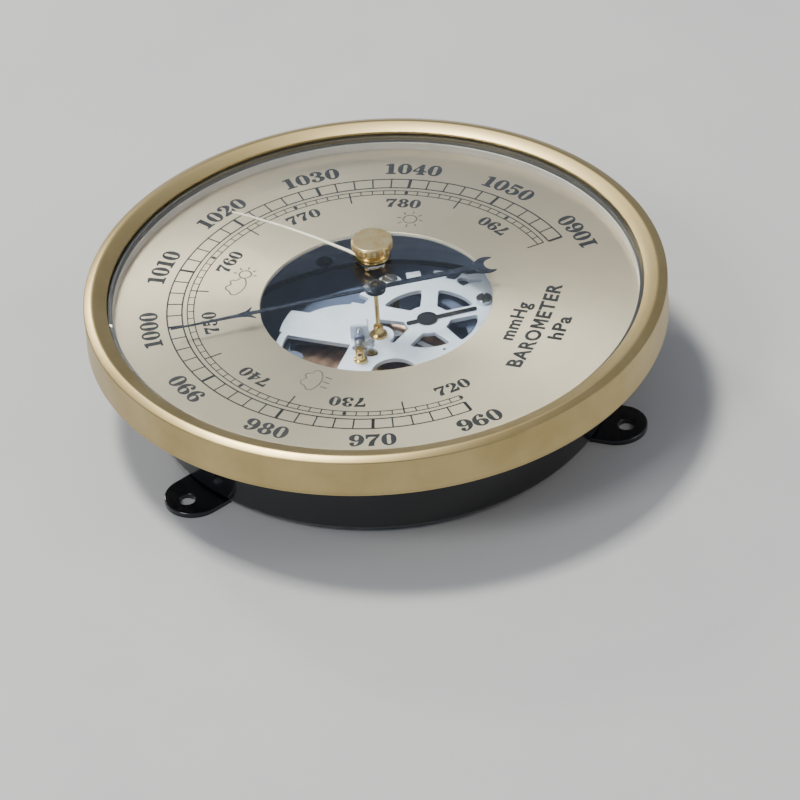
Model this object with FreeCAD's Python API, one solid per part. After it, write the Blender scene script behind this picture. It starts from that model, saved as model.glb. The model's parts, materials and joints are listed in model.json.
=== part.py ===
"""Aneroid barometer: every piece as its own solid, in millimetres.

Row frame: +Z is the dial's axis and points out of the glass, +Y points to 12 o'clock, and the origin is
the middle of the back, at the plane of the mounting lugs.
"""
import FreeCAD
import Part
import math
import os

os.makedirs("parts", exist_ok=True)
V = FreeCAD.Vector
Z_AXIS = V(0, 0, 1)

# ---- driving dimensions: case ----
BEZEL_R = 63.5            # outer radius of the bezel's skirt (a 127 mm instrument)
BEZEL_BASE_Z = 20.6       # lower edge of the skirt
BEZEL_CORNER_Z = 29.2     # where the skirt turns into the front
BEZEL_RIDGE_R = 61.5
BEZEL_RIDGE_Z = 30.0
BEZEL_INNER_R = 58.4
BEZEL_INNER_Z = 28.9
BEZEL_WALL = 0.8
CASE_R = 51.0             # outer radius of the pot
CASE_WALL = 0.8
CASE_STEP_R = 62.6        # outer radius of the step that the bezel slips over
CASE_STEP_Z = 20.9
CASE_RIM_Z = 28.2
CASE_FLOOR = 1.0          # thickness of the pot's bottom
RECESS_R = 43.0           # radius of the raised middle of the bottom
RECESS_Z = 2.8            # height of the raised middle's underside
LUG_T = 1.2               # thickness of the lugs, whose undersides are the back plane
LUG_WIDTH = 13.0
LUG_PITCH_R = 56.0        # radius of the circle through the lug holes
LUG_HOLE_R = 1.8
LUG_INNER_R = 45.0
LUG_OUTER_R = 60.5
LUG_ANGLES = (30, 150, 270)

# ---- driving dimensions: dial and glass ----
DIAL_Z = 24.1             # top of the dial
DIAL_T = 0.8
DIAL_R = 60.4
DIAL_HOLE_R = 25.3
REHAUT_R = 57.0
REHAUT_TOP = 26.0
GLASS_R = 61.2
GLASS_APEX = 36.4         # top of the dome
GLASS_T = 1.2
GLASS_SPHERE_R = 214.6    # radius of the dome's outer face
GLASS_HOLE_R = 2.2

# ---- driving dimensions: movement ----
BASE_Z = RECESS_Z + CASE_FLOOR
BASE_T = 1.2
BASE_R = 40.0
LEAF_Z = BASE_Z + BASE_T + 0.6
LEAF_T = 0.6
CAPSULE_R = 20.5
CAPSULE_Z = 7.2
CAPSULE_RIM_Z = 8.9
CAPSULE_TOP = 10.4
LOWER_Z = 11.6            # underside of the lower plate
LOWER_T = 0.8
LOWER_R = 22.0
BRIDGE_Z = 13.8           # underside of the bridge plate
BRIDGE_T = 1.0
BRIDGE_TOP = BRIDGE_Z + BRIDGE_T
SHAFT_Z = 17.0            # height of the rocker's axis
GEAR_X, GEAR_Y = 8.0, -8.5        # middle of the bridge plate's gear shape
GEAR_TIP_R, GEAR_ROOT_R = 18.2, 15.5
GEAR_TEETH = 18
GEAR_PHASE = 8.7
WHEEL_X, WHEEL_Y, WHEEL_R = -6.1, 5.2, 15.9
PILLARS = ((19.2, 4.0), (17.5, -18.5), (-12.5, 22.3), (-21.5, -18.0))
PILLAR_R = 1.8

# ---- driving dimensions: train ----
# The rocker's axis runs along U, and the capsule's push and the link run along N, both level.
U_DEG = 20.0
U = V(math.cos(math.radians(U_DEG)), math.sin(math.radians(U_DEG)), 0)
N = V(math.cos(math.radians(U_DEG - 90)), math.sin(math.radians(U_DEG - 90)), 0)
SHAFT_N = -4.15           # the shaft's distance from the hand's axis, along N
LIFT_U, LIFT_LEN = -6.3, 2.5      # where the lift arm sits on the shaft, and its working length
DROP_U = -4.2             # where the drop arm and the link lie
MODULE = 0.2
PINION_TEETH = 12
SECTOR_RATIO = 12
PINION_PITCH_R = MODULE * PINION_TEETH / 2
SECTOR_PITCH_R = PINION_PITCH_R * SECTOR_RATIO
TAIL_R = 2.44             # from the sector's staff to the pin on its tail
SECTOR_Z, SECTOR_T = 13.05, 0.6
LINK_Z, LINK_T = 12.55, 0.4
HAND_Z = 27.4             # middle of the pressure hand's thickness
HAND_ANGLE = 123.5        # where it points at rest, anticlockwise from +X
SET_HAND_ANGLE = 68.0
SET_HAND_LEN = 41.5


def level(u, n, z=0.0):
    """The point at u along the rocker's axis and n along the link, at height z."""
    return U * u + N * n + V(0, 0, z)


SECTOR_U = DROP_U - TAIL_R
SECTOR_N = math.sqrt((PINION_PITCH_R + SECTOR_PITCH_R) ** 2 - SECTOR_U ** 2)
CAPSULE_AT = level(LIFT_U, SHAFT_N + LIFT_LEN)
SECTOR_AT = level(SECTOR_U, SECTOR_N)
TAIL_AT = level(DROP_U, SECTOR_N)
DROP_AT = level(DROP_U, SHAFT_N)


# ---- helpers ----
def save(name, *solids):
    """Write one node, of one solid or of several identical ones."""
    shape = solids[0] if len(solids) == 1 else Part.makeCompound(list(solids))
    shape.exportStep(f"parts/{name}.step")


def disc(x, y, r, z0, z1):
    return Part.makeCylinder(r, z1 - z0, V(x, y, z0), Z_AXIS)


def ring(r_out, r_in, z0, z1, x=0.0, y=0.0):
    return disc(x, y, r_out, z0, z1).cut(disc(x, y, r_in, z0 - 1, z1 + 1))


def box(x0, x1, y0, y1, z0, z1):
    return Part.makeBox(x1 - x0, y1 - y0, z1 - z0, V(x0, y0, z0))


def polar(r, deg, z=0.0):
    a = math.radians(deg)
    return V(r * math.cos(a), r * math.sin(a), z)


def turned(shape, deg, x=0.0, y=0.0):
    """The shape turned about the vertical through x, y."""
    copy = shape.copy()
    copy.rotate(V(x, y, 0), Z_AXIS, deg)
    return copy


def moved(shape, to):
    copy = shape.copy()
    copy.translate(to)
    return copy


def slab(points, z0, z1):
    """A flat plate with straight sides through the points."""
    ring_points = [V(p[0], p[1], z0) for p in points]
    wire = Part.makePolygon(ring_points + ring_points[:1])
    return Part.Face(wire).extrude(V(0, 0, z1 - z0))


def bar(a, b, width, z0, z1):
    """A flat bar of a width between two points, with round ends."""
    across = (b - a).cross(Z_AXIS).normalize() * (width / 2)
    body = slab([a + across, b + across, b - across, a - across], z0, z1)
    return body.fuse([disc(p.x, p.y, width / 2, z0, z1) for p in (a, b)]).removeSplitter()


def rounded_profile(points):
    """A closed wire in the XZ plane through (radius, height[, corner radius]) points."""
    at = [V(p[0], 0, p[1]) for p in points]
    radii = [p[2] if len(p) > 2 else 0.0 for p in points]
    starts, ends, edges = [], [], []
    for i, corner in enumerate(at):
        before, after = at[i - 1] - corner, at[(i + 1) % len(at)] - corner
        half = before.getAngle(after) / 2
        reach = radii[i] / math.tan(half) if radii[i] else 0.0
        starts.append(corner + before.normalize() * reach)
        ends.append(corner + after.normalize() * reach)
        if radii[i]:
            inward = (before + after).normalize()
            middle = corner + inward * (radii[i] / math.sin(half) - radii[i])
            edges.append(Part.Arc(starts[i], middle, ends[i]).toShape())
        if i:
            edges.append(Part.LineSegment(ends[i - 1], starts[i]).toShape())
    edges.append(Part.LineSegment(ends[-1], starts[0]).toShape())
    return Part.Wire(Part.__sortEdges__(edges))


def lathe(points, x=0.0, y=0.0):
    """A solid of revolution about the vertical through x, y."""
    solid = Part.Face(rounded_profile(points)).revolve(V(0, 0, 0), Z_AXIS, 360)
    return moved(solid, V(x, y, 0))


def slotted_screw(at, head_r, head_h, shank_r, length, slot=0.5, slot_deg=0.0):
    """A cheese-head screw: `at` is under the head, and the shank runs down from there."""
    head = disc(at.x, at.y, head_r, at.z, at.z + head_h)
    rim = [e for e in head.Edges if abs(e.BoundBox.ZMin - at.z - head_h) < 1e-6 and len(e.Vertexes) < 2]
    head = head.makeFillet(head_h * 0.25, rim)
    cut = box(at.x - head_r, at.x + head_r, at.y - slot / 2, at.y + slot / 2,
              at.z + head_h * 0.5, at.z + head_h + 1)
    head = head.cut(turned(cut, slot_deg, at.x, at.y))
    return head.fuse(disc(at.x, at.y, shank_r, at.z - length, at.z)).removeSplitter()


# ---- case ----
def case_shell():
    outer_z = LUG_T
    inner_r = CASE_R - CASE_WALL
    shelf_z = CASE_STEP_Z + CASE_WALL
    pot = lathe([
        (0, RECESS_Z), (RECESS_R, RECESS_Z, 0.8), (RECESS_R + 1.6, outer_z, 0.8), (CASE_R, outer_z, 1.4),
        (CASE_R, CASE_STEP_Z, 0.5), (CASE_STEP_R, CASE_STEP_Z, 0.5), (CASE_STEP_R, CASE_RIM_Z),
        (CASE_STEP_R - CASE_WALL, CASE_RIM_Z), (CASE_STEP_R - CASE_WALL, shelf_z),
        (inner_r, shelf_z), (inner_r, outer_z + CASE_FLOOR, 0.6),
        (RECESS_R + 2.0, outer_z + CASE_FLOOR, 0.4), (RECESS_R + 0.4, BASE_Z, 0.4), (0, BASE_Z)])
    holes = [disc(p.x, p.y, 1.25, 0, 5) for p in rivet_places()]
    holes += [disc(p.x, p.y, 1.55, 0, 5) for p in base_screw_places()]
    screw = adjuster_place()
    holes.append(disc(screw.x, screw.y, 2.6, 0, 5))
    return pot.cut(holes)


def rivet_places():
    return [turned(Part.Vertex(47.4, side, 0), a).Point for a in LUG_ANGLES for side in (-4.0, 4.0)]


def base_screw_places():
    return [polar(34.0, a) for a in (75, 195, 315)]


def adjuster_place():
    return CAPSULE_AT + V(0, -14.0, 0)


def mounting_lugs():
    half = LUG_WIDTH / 2
    blank = box(LUG_INNER_R, LUG_OUTER_R - half, -half, half, 0, LUG_T)
    blank = blank.fuse(disc(LUG_OUTER_R - half, 0, half, 0, LUG_T)).removeSplitter()
    blank = blank.cut(disc(LUG_PITCH_R, 0, LUG_HOLE_R, -1, 3))
    top = [e for e in blank.Edges if e.BoundBox.ZMin > LUG_T - 1e-6 and e.BoundBox.XMax > CASE_R]
    blank = blank.makeFillet(0.3, top)
    for side in (-4.0, 4.0):
        blank = blank.cut(disc(47.4, side, 1.25, -1, 3))
    return [turned(blank, a) for a in LUG_ANGLES]


def lug_rivets():
    floor = LUG_T + CASE_FLOOR
    solids = []
    for p in rivet_places():
        solids.append(lathe([(0, 0.05), (1.2, 0.05), (1.2, floor), (2.0, floor), (2.0, floor + 0.3),
                             (1.1, floor + 0.8), (0, floor + 0.8)], p.x, p.y))
    return solids


def bezel():
    inner = BEZEL_R - BEZEL_WALL
    return lathe([
        (inner, BEZEL_BASE_Z), (BEZEL_R - 0.25, BEZEL_BASE_Z), (BEZEL_R, BEZEL_BASE_Z + 0.25),
        (BEZEL_R, BEZEL_CORNER_Z, 0.35), (BEZEL_RIDGE_R, BEZEL_RIDGE_Z, 1.2),
        (BEZEL_INNER_R, BEZEL_INNER_Z, 0.15), (BEZEL_INNER_R, 28.38), (59.2, 28.2),
        (BEZEL_RIDGE_R, BEZEL_RIDGE_Z - 0.95), (inner, BEZEL_CORNER_Z - 0.6)])


# ---- glass and dial ----
def dome(radius, apex):
    return Part.makeSphere(radius, V(0, 0, apex - radius))


def crystal():
    blank = disc(0, 0, GLASS_R, 20, 40)
    shell = dome(GLASS_SPHERE_R, GLASS_APEX).cut(dome(GLASS_SPHERE_R - GLASS_T, GLASS_APEX - GLASS_T))
    return blank.common(shell).cut(disc(0, 0, GLASS_HOLE_R, 20, 45))


def crystal_gasket():
    return lathe([(REHAUT_R + 0.2, REHAUT_TOP), (60.9, REHAUT_TOP), (60.9, 26.3), (REHAUT_R + 0.2, 27.34)])


def rehaut_ring():
    return ring(60.9, REHAUT_R, DIAL_Z, REHAUT_TOP)


def dial_plate():
    plate = ring(DIAL_R, DIAL_HOLE_R, DIAL_Z - DIAL_T, DIAL_Z)
    edge = [e for e in plate.Edges if e.BoundBox.ZMin > DIAL_Z - 1e-6 and e.BoundBox.XMax < DIAL_HOLE_R + 1
            and len(e.Vertexes) < 2]
    return plate.makeChamfer(0.15, edge)


def dial_seat_ring():
    return ring(DIAL_R, 52.0, CASE_STEP_Z + CASE_WALL, DIAL_Z - DIAL_T)


# ---- set hand ----
COLLAR_R = 3.8
COLLAR_Z = GLASS_APEX + 0.2
KNOB_Z = 38.75
KNOB_R = 4.5
KNOB_TOP = 40.9
SPINDLE_R = 1.0


def set_knob():
    knob = lathe([(0, KNOB_Z), (KNOB_R - 0.3, KNOB_Z), (KNOB_R, KNOB_Z + 0.3), (KNOB_R, KNOB_TOP - 0.35),
                  (KNOB_R - 0.35, KNOB_TOP), (0, KNOB_TOP)])
    grooves = 24
    for i in range(grooves):
        p = polar(KNOB_R + 0.08, 360 * i / grooves)
        knob = knob.cut(disc(p.x, p.y, 0.34, KNOB_Z - 1, KNOB_TOP - 0.3))
    return knob.cut(disc(0, 0, SPINDLE_R, KNOB_Z - 1, KNOB_TOP - 0.8))


def spindle_bush():
    bush = lathe([(1.05, 34.45), (2.1, 34.45), (2.1, COLLAR_Z), (COLLAR_R, COLLAR_Z),
                  (COLLAR_R, COLLAR_Z + 1.1, 0.2), (COLLAR_R - 0.5, COLLAR_Z + 1.5, 0.2),
                  (COLLAR_R - 0.5, KNOB_Z - 0.15), (1.05, KNOB_Z - 0.15)])
    return bush


def bush_washer():
    return ring(3.9, 2.2, GLASS_APEX + 0.01, COLLAR_Z)


def bush_nut():
    sides = [polar(3.3, 60 * i) for i in range(6)]
    return slab(sides, 34.5, GLASS_APEX - GLASS_T - 0.06).cut(disc(0, 0, 2.1, 30, 40))


def set_spindle():
    return disc(0, 0, SPINDLE_R, 33.3, KNOB_TOP - 0.8)


def friction_washer():
    return ring(2.8, 1.05, KNOB_Z - 0.15, KNOB_Z - 0.01)


def set_collet():
    return ring(1.7, SPINDLE_R, 33.4, 34.0)


def set_hand():
    """A thin pointer that follows the dome a little below it."""
    middle = GLASS_APEX - GLASS_T - 1.0
    radius = GLASS_SPHERE_R - GLASS_T - 1.0
    shell = dome(radius + 0.15, middle + 0.15).cut(dome(radius - 0.15, middle - 0.15))
    outline = slab([(0, -0.4), (SET_HAND_LEN, -0.16), (SET_HAND_LEN, 0.16), (0, 0.4)], 28, 36)
    blank = outline.fuse(disc(0, 0, 2.0, 28, 36)).cut(disc(0, 0, SPINDLE_R, 20, 40))
    return turned(shell.common(blank), SET_HAND_ANGLE)


# ---- pressure hand and staff ----
STAFF_R = 0.5
PIVOT_R = 0.35
HAND_T = 0.3


def pressure_hand():
    z0, z1 = HAND_Z - HAND_T / 2, HAND_Z + HAND_T / 2
    stem = slab([(0, -0.55), (28, -0.5), (45.5, -0.14), (45.5, 0.14), (28, 0.5), (0, 0.55)], z0, z1)
    arrow = slab([(32.8, 0), (28.6, 0.95), (27.0, 2.1), (28.0, 0.5), (28.0, -0.5), (27.0, -2.1),
                  (28.6, -0.95)], z0, z1)
    tail = slab([(0, 0.65), (0, -0.65), (-23, -0.95), (-23, 0.95)], z0, z1)
    crescent = disc(-25.0, 0, 2.9, z0, z1).cut(disc(-26.8, 0, 2.3, z0 - 1, z1 + 1))
    flat = disc(0, 0, 1.8, z0, z1).fuse([stem, arrow, tail, crescent]).removeSplitter()
    return turned(flat.cut(disc(0, 0, 1.0, z0 - 1, z1 + 1)), HAND_ANGLE)


def hand_hub():
    z0, z1 = HAND_Z - HAND_T / 2, HAND_Z + HAND_T / 2
    return lathe([(STAFF_R, z0 - 1.4), (1.0, z0 - 1.4), (1.0, z0 - 0.5), (2.3, z0 - 0.5), (2.3, z0),
                  (1.0, z0), (1.0, z1), (2.5, z1), (2.5, z1 + 0.35, 0.15), (1.2, z1 + 0.8, 0.2),
                  (STAFF_R, z1 + 0.8)])


def hand_arbor():
    top = HAND_Z + 0.9
    return lathe([(0, LOWER_Z), (PIVOT_R, LOWER_Z), (PIVOT_R, LOWER_Z + LOWER_T + 0.02),
                  (STAFF_R, LOWER_Z + LOWER_T + 0.02), (STAFF_R, top), (0, top)])


def arbor_bush():
    return lathe([(0.55, BRIDGE_Z + 0.05), (1.3, BRIDGE_Z + 0.05), (1.3, BRIDGE_TOP), (1.9, BRIDGE_TOP),
                  (1.9, BRIDGE_TOP + 0.5, 0.15), (1.1, BRIDGE_TOP + 0.9), (1.1, BRIDGE_TOP + 2.6, 0.2),
                  (0.55, BRIDGE_TOP + 2.6)])


def involute_flank(base_r, r):
    """Angle that an involute has turned, in radians, where it reaches radius r."""
    roll = math.sqrt(max((r / base_r) ** 2 - 1, 0.0))
    return roll - math.atan(roll)


def tooth(pitch_r, addendum, dedendum, backlash, z0, z1):
    """One gear tooth on +X, rooted a little inside its root circle."""
    base_r = pitch_r * math.cos(math.radians(20))
    root_r, tip_r = pitch_r - dedendum, pitch_r + addendum
    half = math.pi * MODULE / 4 / pitch_r - backlash / 2 / pitch_r + involute_flank(base_r, pitch_r)
    start = max(root_r, base_r)
    steps = 5
    radii = [root_r - 0.1] + [start + (tip_r - start) * i / steps for i in range(steps + 1)]
    flank = [(r, half - involute_flank(base_r, r)) for r in radii]
    outline = [(r * math.cos(a), r * math.sin(a)) for r, a in flank]
    return slab(outline + [(x, -y) for x, y in reversed(outline)], z0, z1)


def arbor_pinion():
    """The pinion: a tooth space faces the sector at rest."""
    z0, z1 = SECTOR_Z - 0.03, SECTOR_Z + SECTOR_T + 0.08
    body = disc(0, 0, PINION_PITCH_R - 1.25 * MODULE, z0, z1)
    one = tooth(PINION_PITCH_R, 0.8 * MODULE, 1.25 * MODULE, 0.05, z0, z1)
    pitch = 360 / PINION_TEETH
    towards = math.degrees(math.atan2(SECTOR_AT.y, SECTOR_AT.x))
    body = body.fuse([turned(one, towards + pitch * (i + 0.5)) for i in range(PINION_TEETH)])
    return body.removeSplitter().cut(disc(0, 0, STAFF_R, z0 - 1, z1 + 1))


def hairspring_collet():
    return ring(0.95, STAFF_R, LOWER_Z + LOWER_T + 0.1, SECTOR_Z - 0.08)


def hairspring():
    """A flat spiral of five turns from the collet out to the stud."""
    inner_r, outer_r, turns, width = 0.97, 2.95, 4.5, 0.07
    steps = int(turns * 24)
    sides = []
    for offset in (-width / 2, width / 2):
        sides.append([polar(inner_r + width / 2 + (outer_r - inner_r) * i / steps + offset,
                            U_DEG - 90 + 360 * turns * i / steps) for i in range(steps + 1)])
    outline = sides[0] + sides[1][::-1]
    return slab(outline, LINK_Z, LINK_Z + 0.3)


def hairspring_stud():
    at = polar(3.35, U_DEG - 90 + 360 * 4.5)
    return disc(at.x, at.y, 0.35, LOWER_Z + LOWER_T, LINK_Z + 0.4)


# ---- bridge and lower plate ----
def gear_window(deg, r_in, r_out, arm):
    """A window between two arms of the gear shape, centred on an angle, with arms of a width."""
    z0, z1 = BRIDGE_Z - 3, BRIDGE_TOP + 1
    whole = ring(r_out, r_in, z0, z1)
    half = 36.0
    reach = r_out + 2
    whole = whole.cut(turned(box(-2, reach, -40, arm / 2, z0, z1), -half))
    whole = whole.cut(turned(box(-2, reach, -arm / 2, 40, z0, z1), half))
    wedge = slab([(0, 0), polar(40, -half), polar(40, half)], z0, z1)
    whole = whole.common(wedge)
    upright = [e for e in whole.Edges if e.BoundBox.ZLength > 3]
    whole = whole.makeFillet(0.6, upright)
    return moved(turned(whole, deg), V(GEAR_X, GEAR_Y, 0))


def bridge_plate():
    z0, z1 = BRIDGE_Z, BRIDGE_TOP
    gear = disc(GEAR_X, GEAR_Y, GEAR_ROOT_R, z0, z1)
    block = box(GEAR_ROOT_R - 1, GEAR_TIP_R, -1.55, 1.55, z0, z1)
    for i in range(GEAR_TEETH):
        gear = gear.fuse(moved(turned(block, GEAR_PHASE + 360 * i / GEAR_TEETH), V(GEAR_X, GEAR_Y, 0)))
    wheel = disc(WHEEL_X, WHEEL_Y, WHEEL_R, z0, z1)
    upright = box(-4.1, 3.9, -6, 24, z0, z1).common(disc(0, 0, LOWER_R, z0, z1))
    ears = [bar(V(*PILLARS[2], 0), V(WHEEL_X, WHEEL_Y, 0), 6.0, z0, z1),
            bar(V(*PILLARS[3], 0), V(WHEEL_X, WHEEL_Y, 0), 6.0, z0, z1),
            disc(PILLARS[0][0], PILLARS[0][1], 2.6, z0, z1),
            disc(20.5, -15.6, 6.6, z0, z1)]
    plate = gear.fuse([wheel, upright] + ears).removeSplitter()
    inside = disc(WHEEL_X, WHEEL_Y, WHEEL_R - 1.6, z0 - 1, z1 + 1)
    left_window = inside.common(box(-30, -4.9, 4.9, 30, z0 - 1, z1 + 1))
    low_window = disc(-12.0, -7.6, 5.0, z0 - 1, z1 + 1)
    hub = disc(0, 0, 3.3, z0 - 2, z1 + 2)
    windows = [gear_window(deg, 5.0, 11.1, 3.6) for deg in (51, -21, -93, 130)]
    windows.append(gear_window(202, 5.0, 10.2, 3.6))
    windows = [w.cut(hub) for w in windows]
    slot = bar(DROP_AT - N * 0.9, DROP_AT + N * 0.9, 1.7, z0 - 1, z1 + 1)
    curve = ring(4.6, 3.4, z0 - 1, z1 + 1, 20.5, -15.6).common(
        slab([(20.5, -15.6), (30, -15.6), (30, -5), (24.5, -5)], z0 - 1, z1 + 1))
    cuts = [left_window, low_window, slot, curve, disc(GEAR_X, GEAR_Y, 2.0, z0 - 1, z1 + 1),
            disc(0, 0, 1.3, z0 - 1, z1 + 1), disc(23.6, -11.6, 1.3, z0 - 1, z1 + 1),
            disc(CAPSULE_AT.x, CAPSULE_AT.y, 1.4, z0 - 1, z1 + 1),
            disc(SECTOR_AT.x, SECTOR_AT.y, 0.4, z0 - 1, z1 + 1)]
    cuts += [disc(x, y, 0.85, z0 - 1, z1 + 1) for x, y in PILLARS]
    return plate.cut(cuts + windows)


def lower_plate():
    z0, z1 = LOWER_Z, LOWER_Z + LOWER_T
    plate = ring(LOWER_R, LOWER_R - 2.4, z0, z1)
    fan = slab([(0, 0), polar(40, 8), polar(40, 55), polar(40, 102)], z0, z1).common(
        disc(0, 0, LOWER_R, z0, z1))
    towards = math.degrees(math.atan2(SECTOR_AT.y, SECTOR_AT.x))
    arms = [bar(V(0, 0, 0), polar(LOWER_R - 1.2, towards), 4.0, z0, z1), disc(0, 0, 4.6, z0, z1)]
    ears = [bar(V(x, y, 0), V(x, y, 0) * (19.5 / math.hypot(x, y)), 5.0, z0, z1) for x, y in PILLARS]
    plate = plate.fuse([fan] + arms + ears).removeSplitter()
    cuts = [disc(0, 0, PIVOT_R + 0.05, z0 - 1, z1 + 1),
            disc(SECTOR_AT.x, SECTOR_AT.y, PIVOT_R + 0.05, z0 - 1, z1 + 1),
            disc(CAPSULE_AT.x, CAPSULE_AT.y, 2.4, z0 - 1, z1 + 1)]
    cuts += [disc(x, y, 0.85, z0 - 1, z1 + 1) for x, y in PILLARS]
    return plate.cut(cuts)


def movement_pillars():
    foot = BASE_Z + BASE_T
    return [disc(x, y, PILLAR_R, foot, LOWER_Z).cut(disc(x, y, 0.85, LOWER_Z - 3.0, LOWER_Z + 1))
            for x, y in PILLARS]


def plate_spacers():
    return [ring(PILLAR_R, 0.85, LOWER_Z + LOWER_T, BRIDGE_Z, x, y) for x, y in PILLARS]


def bridge_screws():
    turns = (60, 15, 100, 140)
    return [slotted_screw(V(x, y, BRIDGE_TOP), 1.8, 1.0, 0.8, 5.4, 0.45, turns[i])
            for i, (x, y) in enumerate(PILLARS)]


def index_arm():
    """A narrow blackened arm that lies on the bridge, with a boss that fills the hole in its wheel."""
    top = BRIDGE_TOP + 0.4
    boss = disc(GEAR_X, GEAR_Y, 1.95, BRIDGE_Z + 0.1, top)
    flange = disc(GEAR_X, GEAR_Y, 2.3, BRIDGE_TOP, top)
    arm = bar(V(5.4, -5.1, 0), V(14.0, -17.4, 0), 1.1, BRIDGE_TOP, top)
    return boss.fuse([flange, arm]).removeSplitter()


def base_plate():
    z0, z1 = BASE_Z, BASE_Z + BASE_T
    plate = disc(0, 0, BASE_R, z0, z1)
    screw = adjuster_place()
    cuts = [disc(p.x, p.y, 1.52, z0 - 1, z1 + 1) for p in base_screw_places()]
    cuts.append(disc(screw.x, screw.y, 2.55, z0 - 1, z1 + 1))
    cuts += [disc(p.x, p.y, 0.85, z0 - 1, z1 + 1) for p in leaf_screw_places()]
    return plate.cut(cuts)


def base_screws():
    top = BASE_Z + BASE_T
    solids = []
    for p in base_screw_places():
        screw = slotted_screw(V(0, 0, 0), 2.8, 1.2, 1.5, top - RECESS_Z + 0.8, 0.7, 30)
        screw.rotate(V(0, 0, 0), V(1, 0, 0), 180)
        solids.append(moved(screw, V(p.x, p.y, RECESS_Z)))
    return solids


# ---- capsule and its holder ----
def diaphragm(rim_z, top_z, sign):
    """A corrugated disc: flat in the middle, three waves, then a step down to its rim."""
    thick = 0.4
    flat_r, wave_r, rim_r = 4.0, 17.2, 18.9
    waves, height = 4, 0.5
    outer = [V(0, 0, top_z), V(flat_r, 0, top_z)]
    steps = waves * 8
    wavy = []
    for i in range(steps + 1):
        r = flat_r + (wave_r - flat_r) * i / steps
        wavy.append(V(r, 0, top_z - sign * height * (1 - math.cos(2 * math.pi * waves * i / steps)) / 2))
    drop = V(0, 0, -sign * thick)
    upper = Part.BSplineCurve()
    upper.interpolate(wavy)
    lower = Part.BSplineCurve()
    lower.interpolate([p + drop for p in wavy])
    edge_r, fold = CAPSULE_R, V(0, 0, rim_z)
    points = [wavy[-1], V(rim_r, 0, rim_z + sign * thick), V(edge_r, 0, rim_z + sign * thick),
              V(edge_r, 0, rim_z), V(rim_r - 0.4, 0, rim_z), wavy[-1] + drop]
    edges = [Part.LineSegment(outer[0], outer[1]).toShape(), upper.toShape()]
    edges += [Part.LineSegment(a, b).toShape() for a, b in zip(points, points[1:])]
    edges.append(lower.toShape())
    edges.append(Part.LineSegment(V(flat_r, 0, top_z) + drop, V(0, 0, top_z) + drop).toShape())
    edges.append(Part.LineSegment(V(0, 0, top_z) + drop, outer[0]).toShape())
    wire = Part.Wire(Part.__sortEdges__(edges))
    return moved(Part.Face(wire).revolve(V(0, 0, 0), Z_AXIS, 360), CAPSULE_AT)


def capsule_upper():
    return diaphragm(CAPSULE_RIM_Z, CAPSULE_TOP, 1)


def capsule_lower():
    return diaphragm(CAPSULE_RIM_Z - 0.01, CAPSULE_Z, -1)


def capsule_post():
    x, y = CAPSULE_AT.x, CAPSULE_AT.y
    return lathe([(0, CAPSULE_TOP + 0.05), (2.2, CAPSULE_TOP + 0.05), (2.2, CAPSULE_TOP + 0.6, 0.15),
                  (0.8, CAPSULE_TOP + 0.9), (0.8, 15.07, 0.1), (0, 15.07)], x, y)


def capsule_foot():
    x, y = CAPSULE_AT.x, CAPSULE_AT.y
    return disc(x, y, 3.0, LEAF_Z + LEAF_T, CAPSULE_Z)


def leaf_screw_places():
    return [CAPSULE_AT + V(side, 16.5, 0) for side in (-2.6, 2.6)]


def capsule_spring_plate():
    a, b = CAPSULE_AT + V(0, 17.0, 0), CAPSULE_AT + V(0, -14.6, 0)
    leaf = bar(a, b, 9.0, LEAF_Z, LEAF_Z + LEAF_T)
    return leaf.cut([disc(p.x, p.y, 0.85, 0, 9) for p in leaf_screw_places()])


def spring_plate_block():
    at = CAPSULE_AT + V(0, 16.5, 0)
    block = box(at.x - 4.5, at.x + 4.5, at.y - 2.5, at.y + 2.5, BASE_Z + BASE_T, LEAF_Z)
    return block.cut([disc(p.x, p.y, 0.85, 0, 9) for p in leaf_screw_places()])


def spring_plate_screws():
    return [slotted_screw(V(p.x, p.y, LEAF_Z + LEAF_T), 1.6, 0.7, 0.8, 2.4, 0.4, 20)
            for p in leaf_screw_places()]


def adjusting_bush():
    p = adjuster_place()
    top = BASE_Z + BASE_T
    return lathe([(1.55, RECESS_Z + 0.1), (2.5, RECESS_Z + 0.1), (2.5, top), (3.4, top), (3.4, top + 0.4),
                  (1.55, top + 0.4)], p.x, p.y)


def adjusting_screw():
    p = adjuster_place()
    screw = slotted_screw(V(0, 0, 0), 2.3, 1.2, 1.5, LEAF_Z - 0.05 - 2.4, 0.7, 0)
    screw.rotate(V(0, 0, 0), V(1, 0, 0), 180)
    return moved(screw, V(p.x, p.y, 2.4))


# ---- rocker ----
def along_shaft(u, r, length):
    return Part.makeCylinder(r, length, level(u, SHAFT_N, SHAFT_Z), U)


ROCKER_POST_U = -8.9
ROCKER_BLOCK_U = 0.5


def rocker_shaft():
    body = along_shaft(ROCKER_POST_U + 1.1, 0.7, ROCKER_BLOCK_U - ROCKER_POST_U - 2.5)
    pivots = along_shaft(ROCKER_POST_U - 0.5, PIVOT_R, ROCKER_BLOCK_U - ROCKER_POST_U + 1.2)
    return body.fuse(pivots).removeSplitter()


def rocker_post():
    p = level(ROCKER_POST_U, SHAFT_N)
    post = lathe([(0, BRIDGE_TOP), (1.5, BRIDGE_TOP), (1.5, BRIDGE_TOP + 0.5), (1.0, BRIDGE_TOP + 0.7),
                  (1.0, SHAFT_Z + 1.1, 0.3), (0, SHAFT_Z + 1.1)], p.x, p.y)
    return post.cut(along_shaft(ROCKER_POST_U - 4, PIVOT_R + 0.05, 8))


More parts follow.
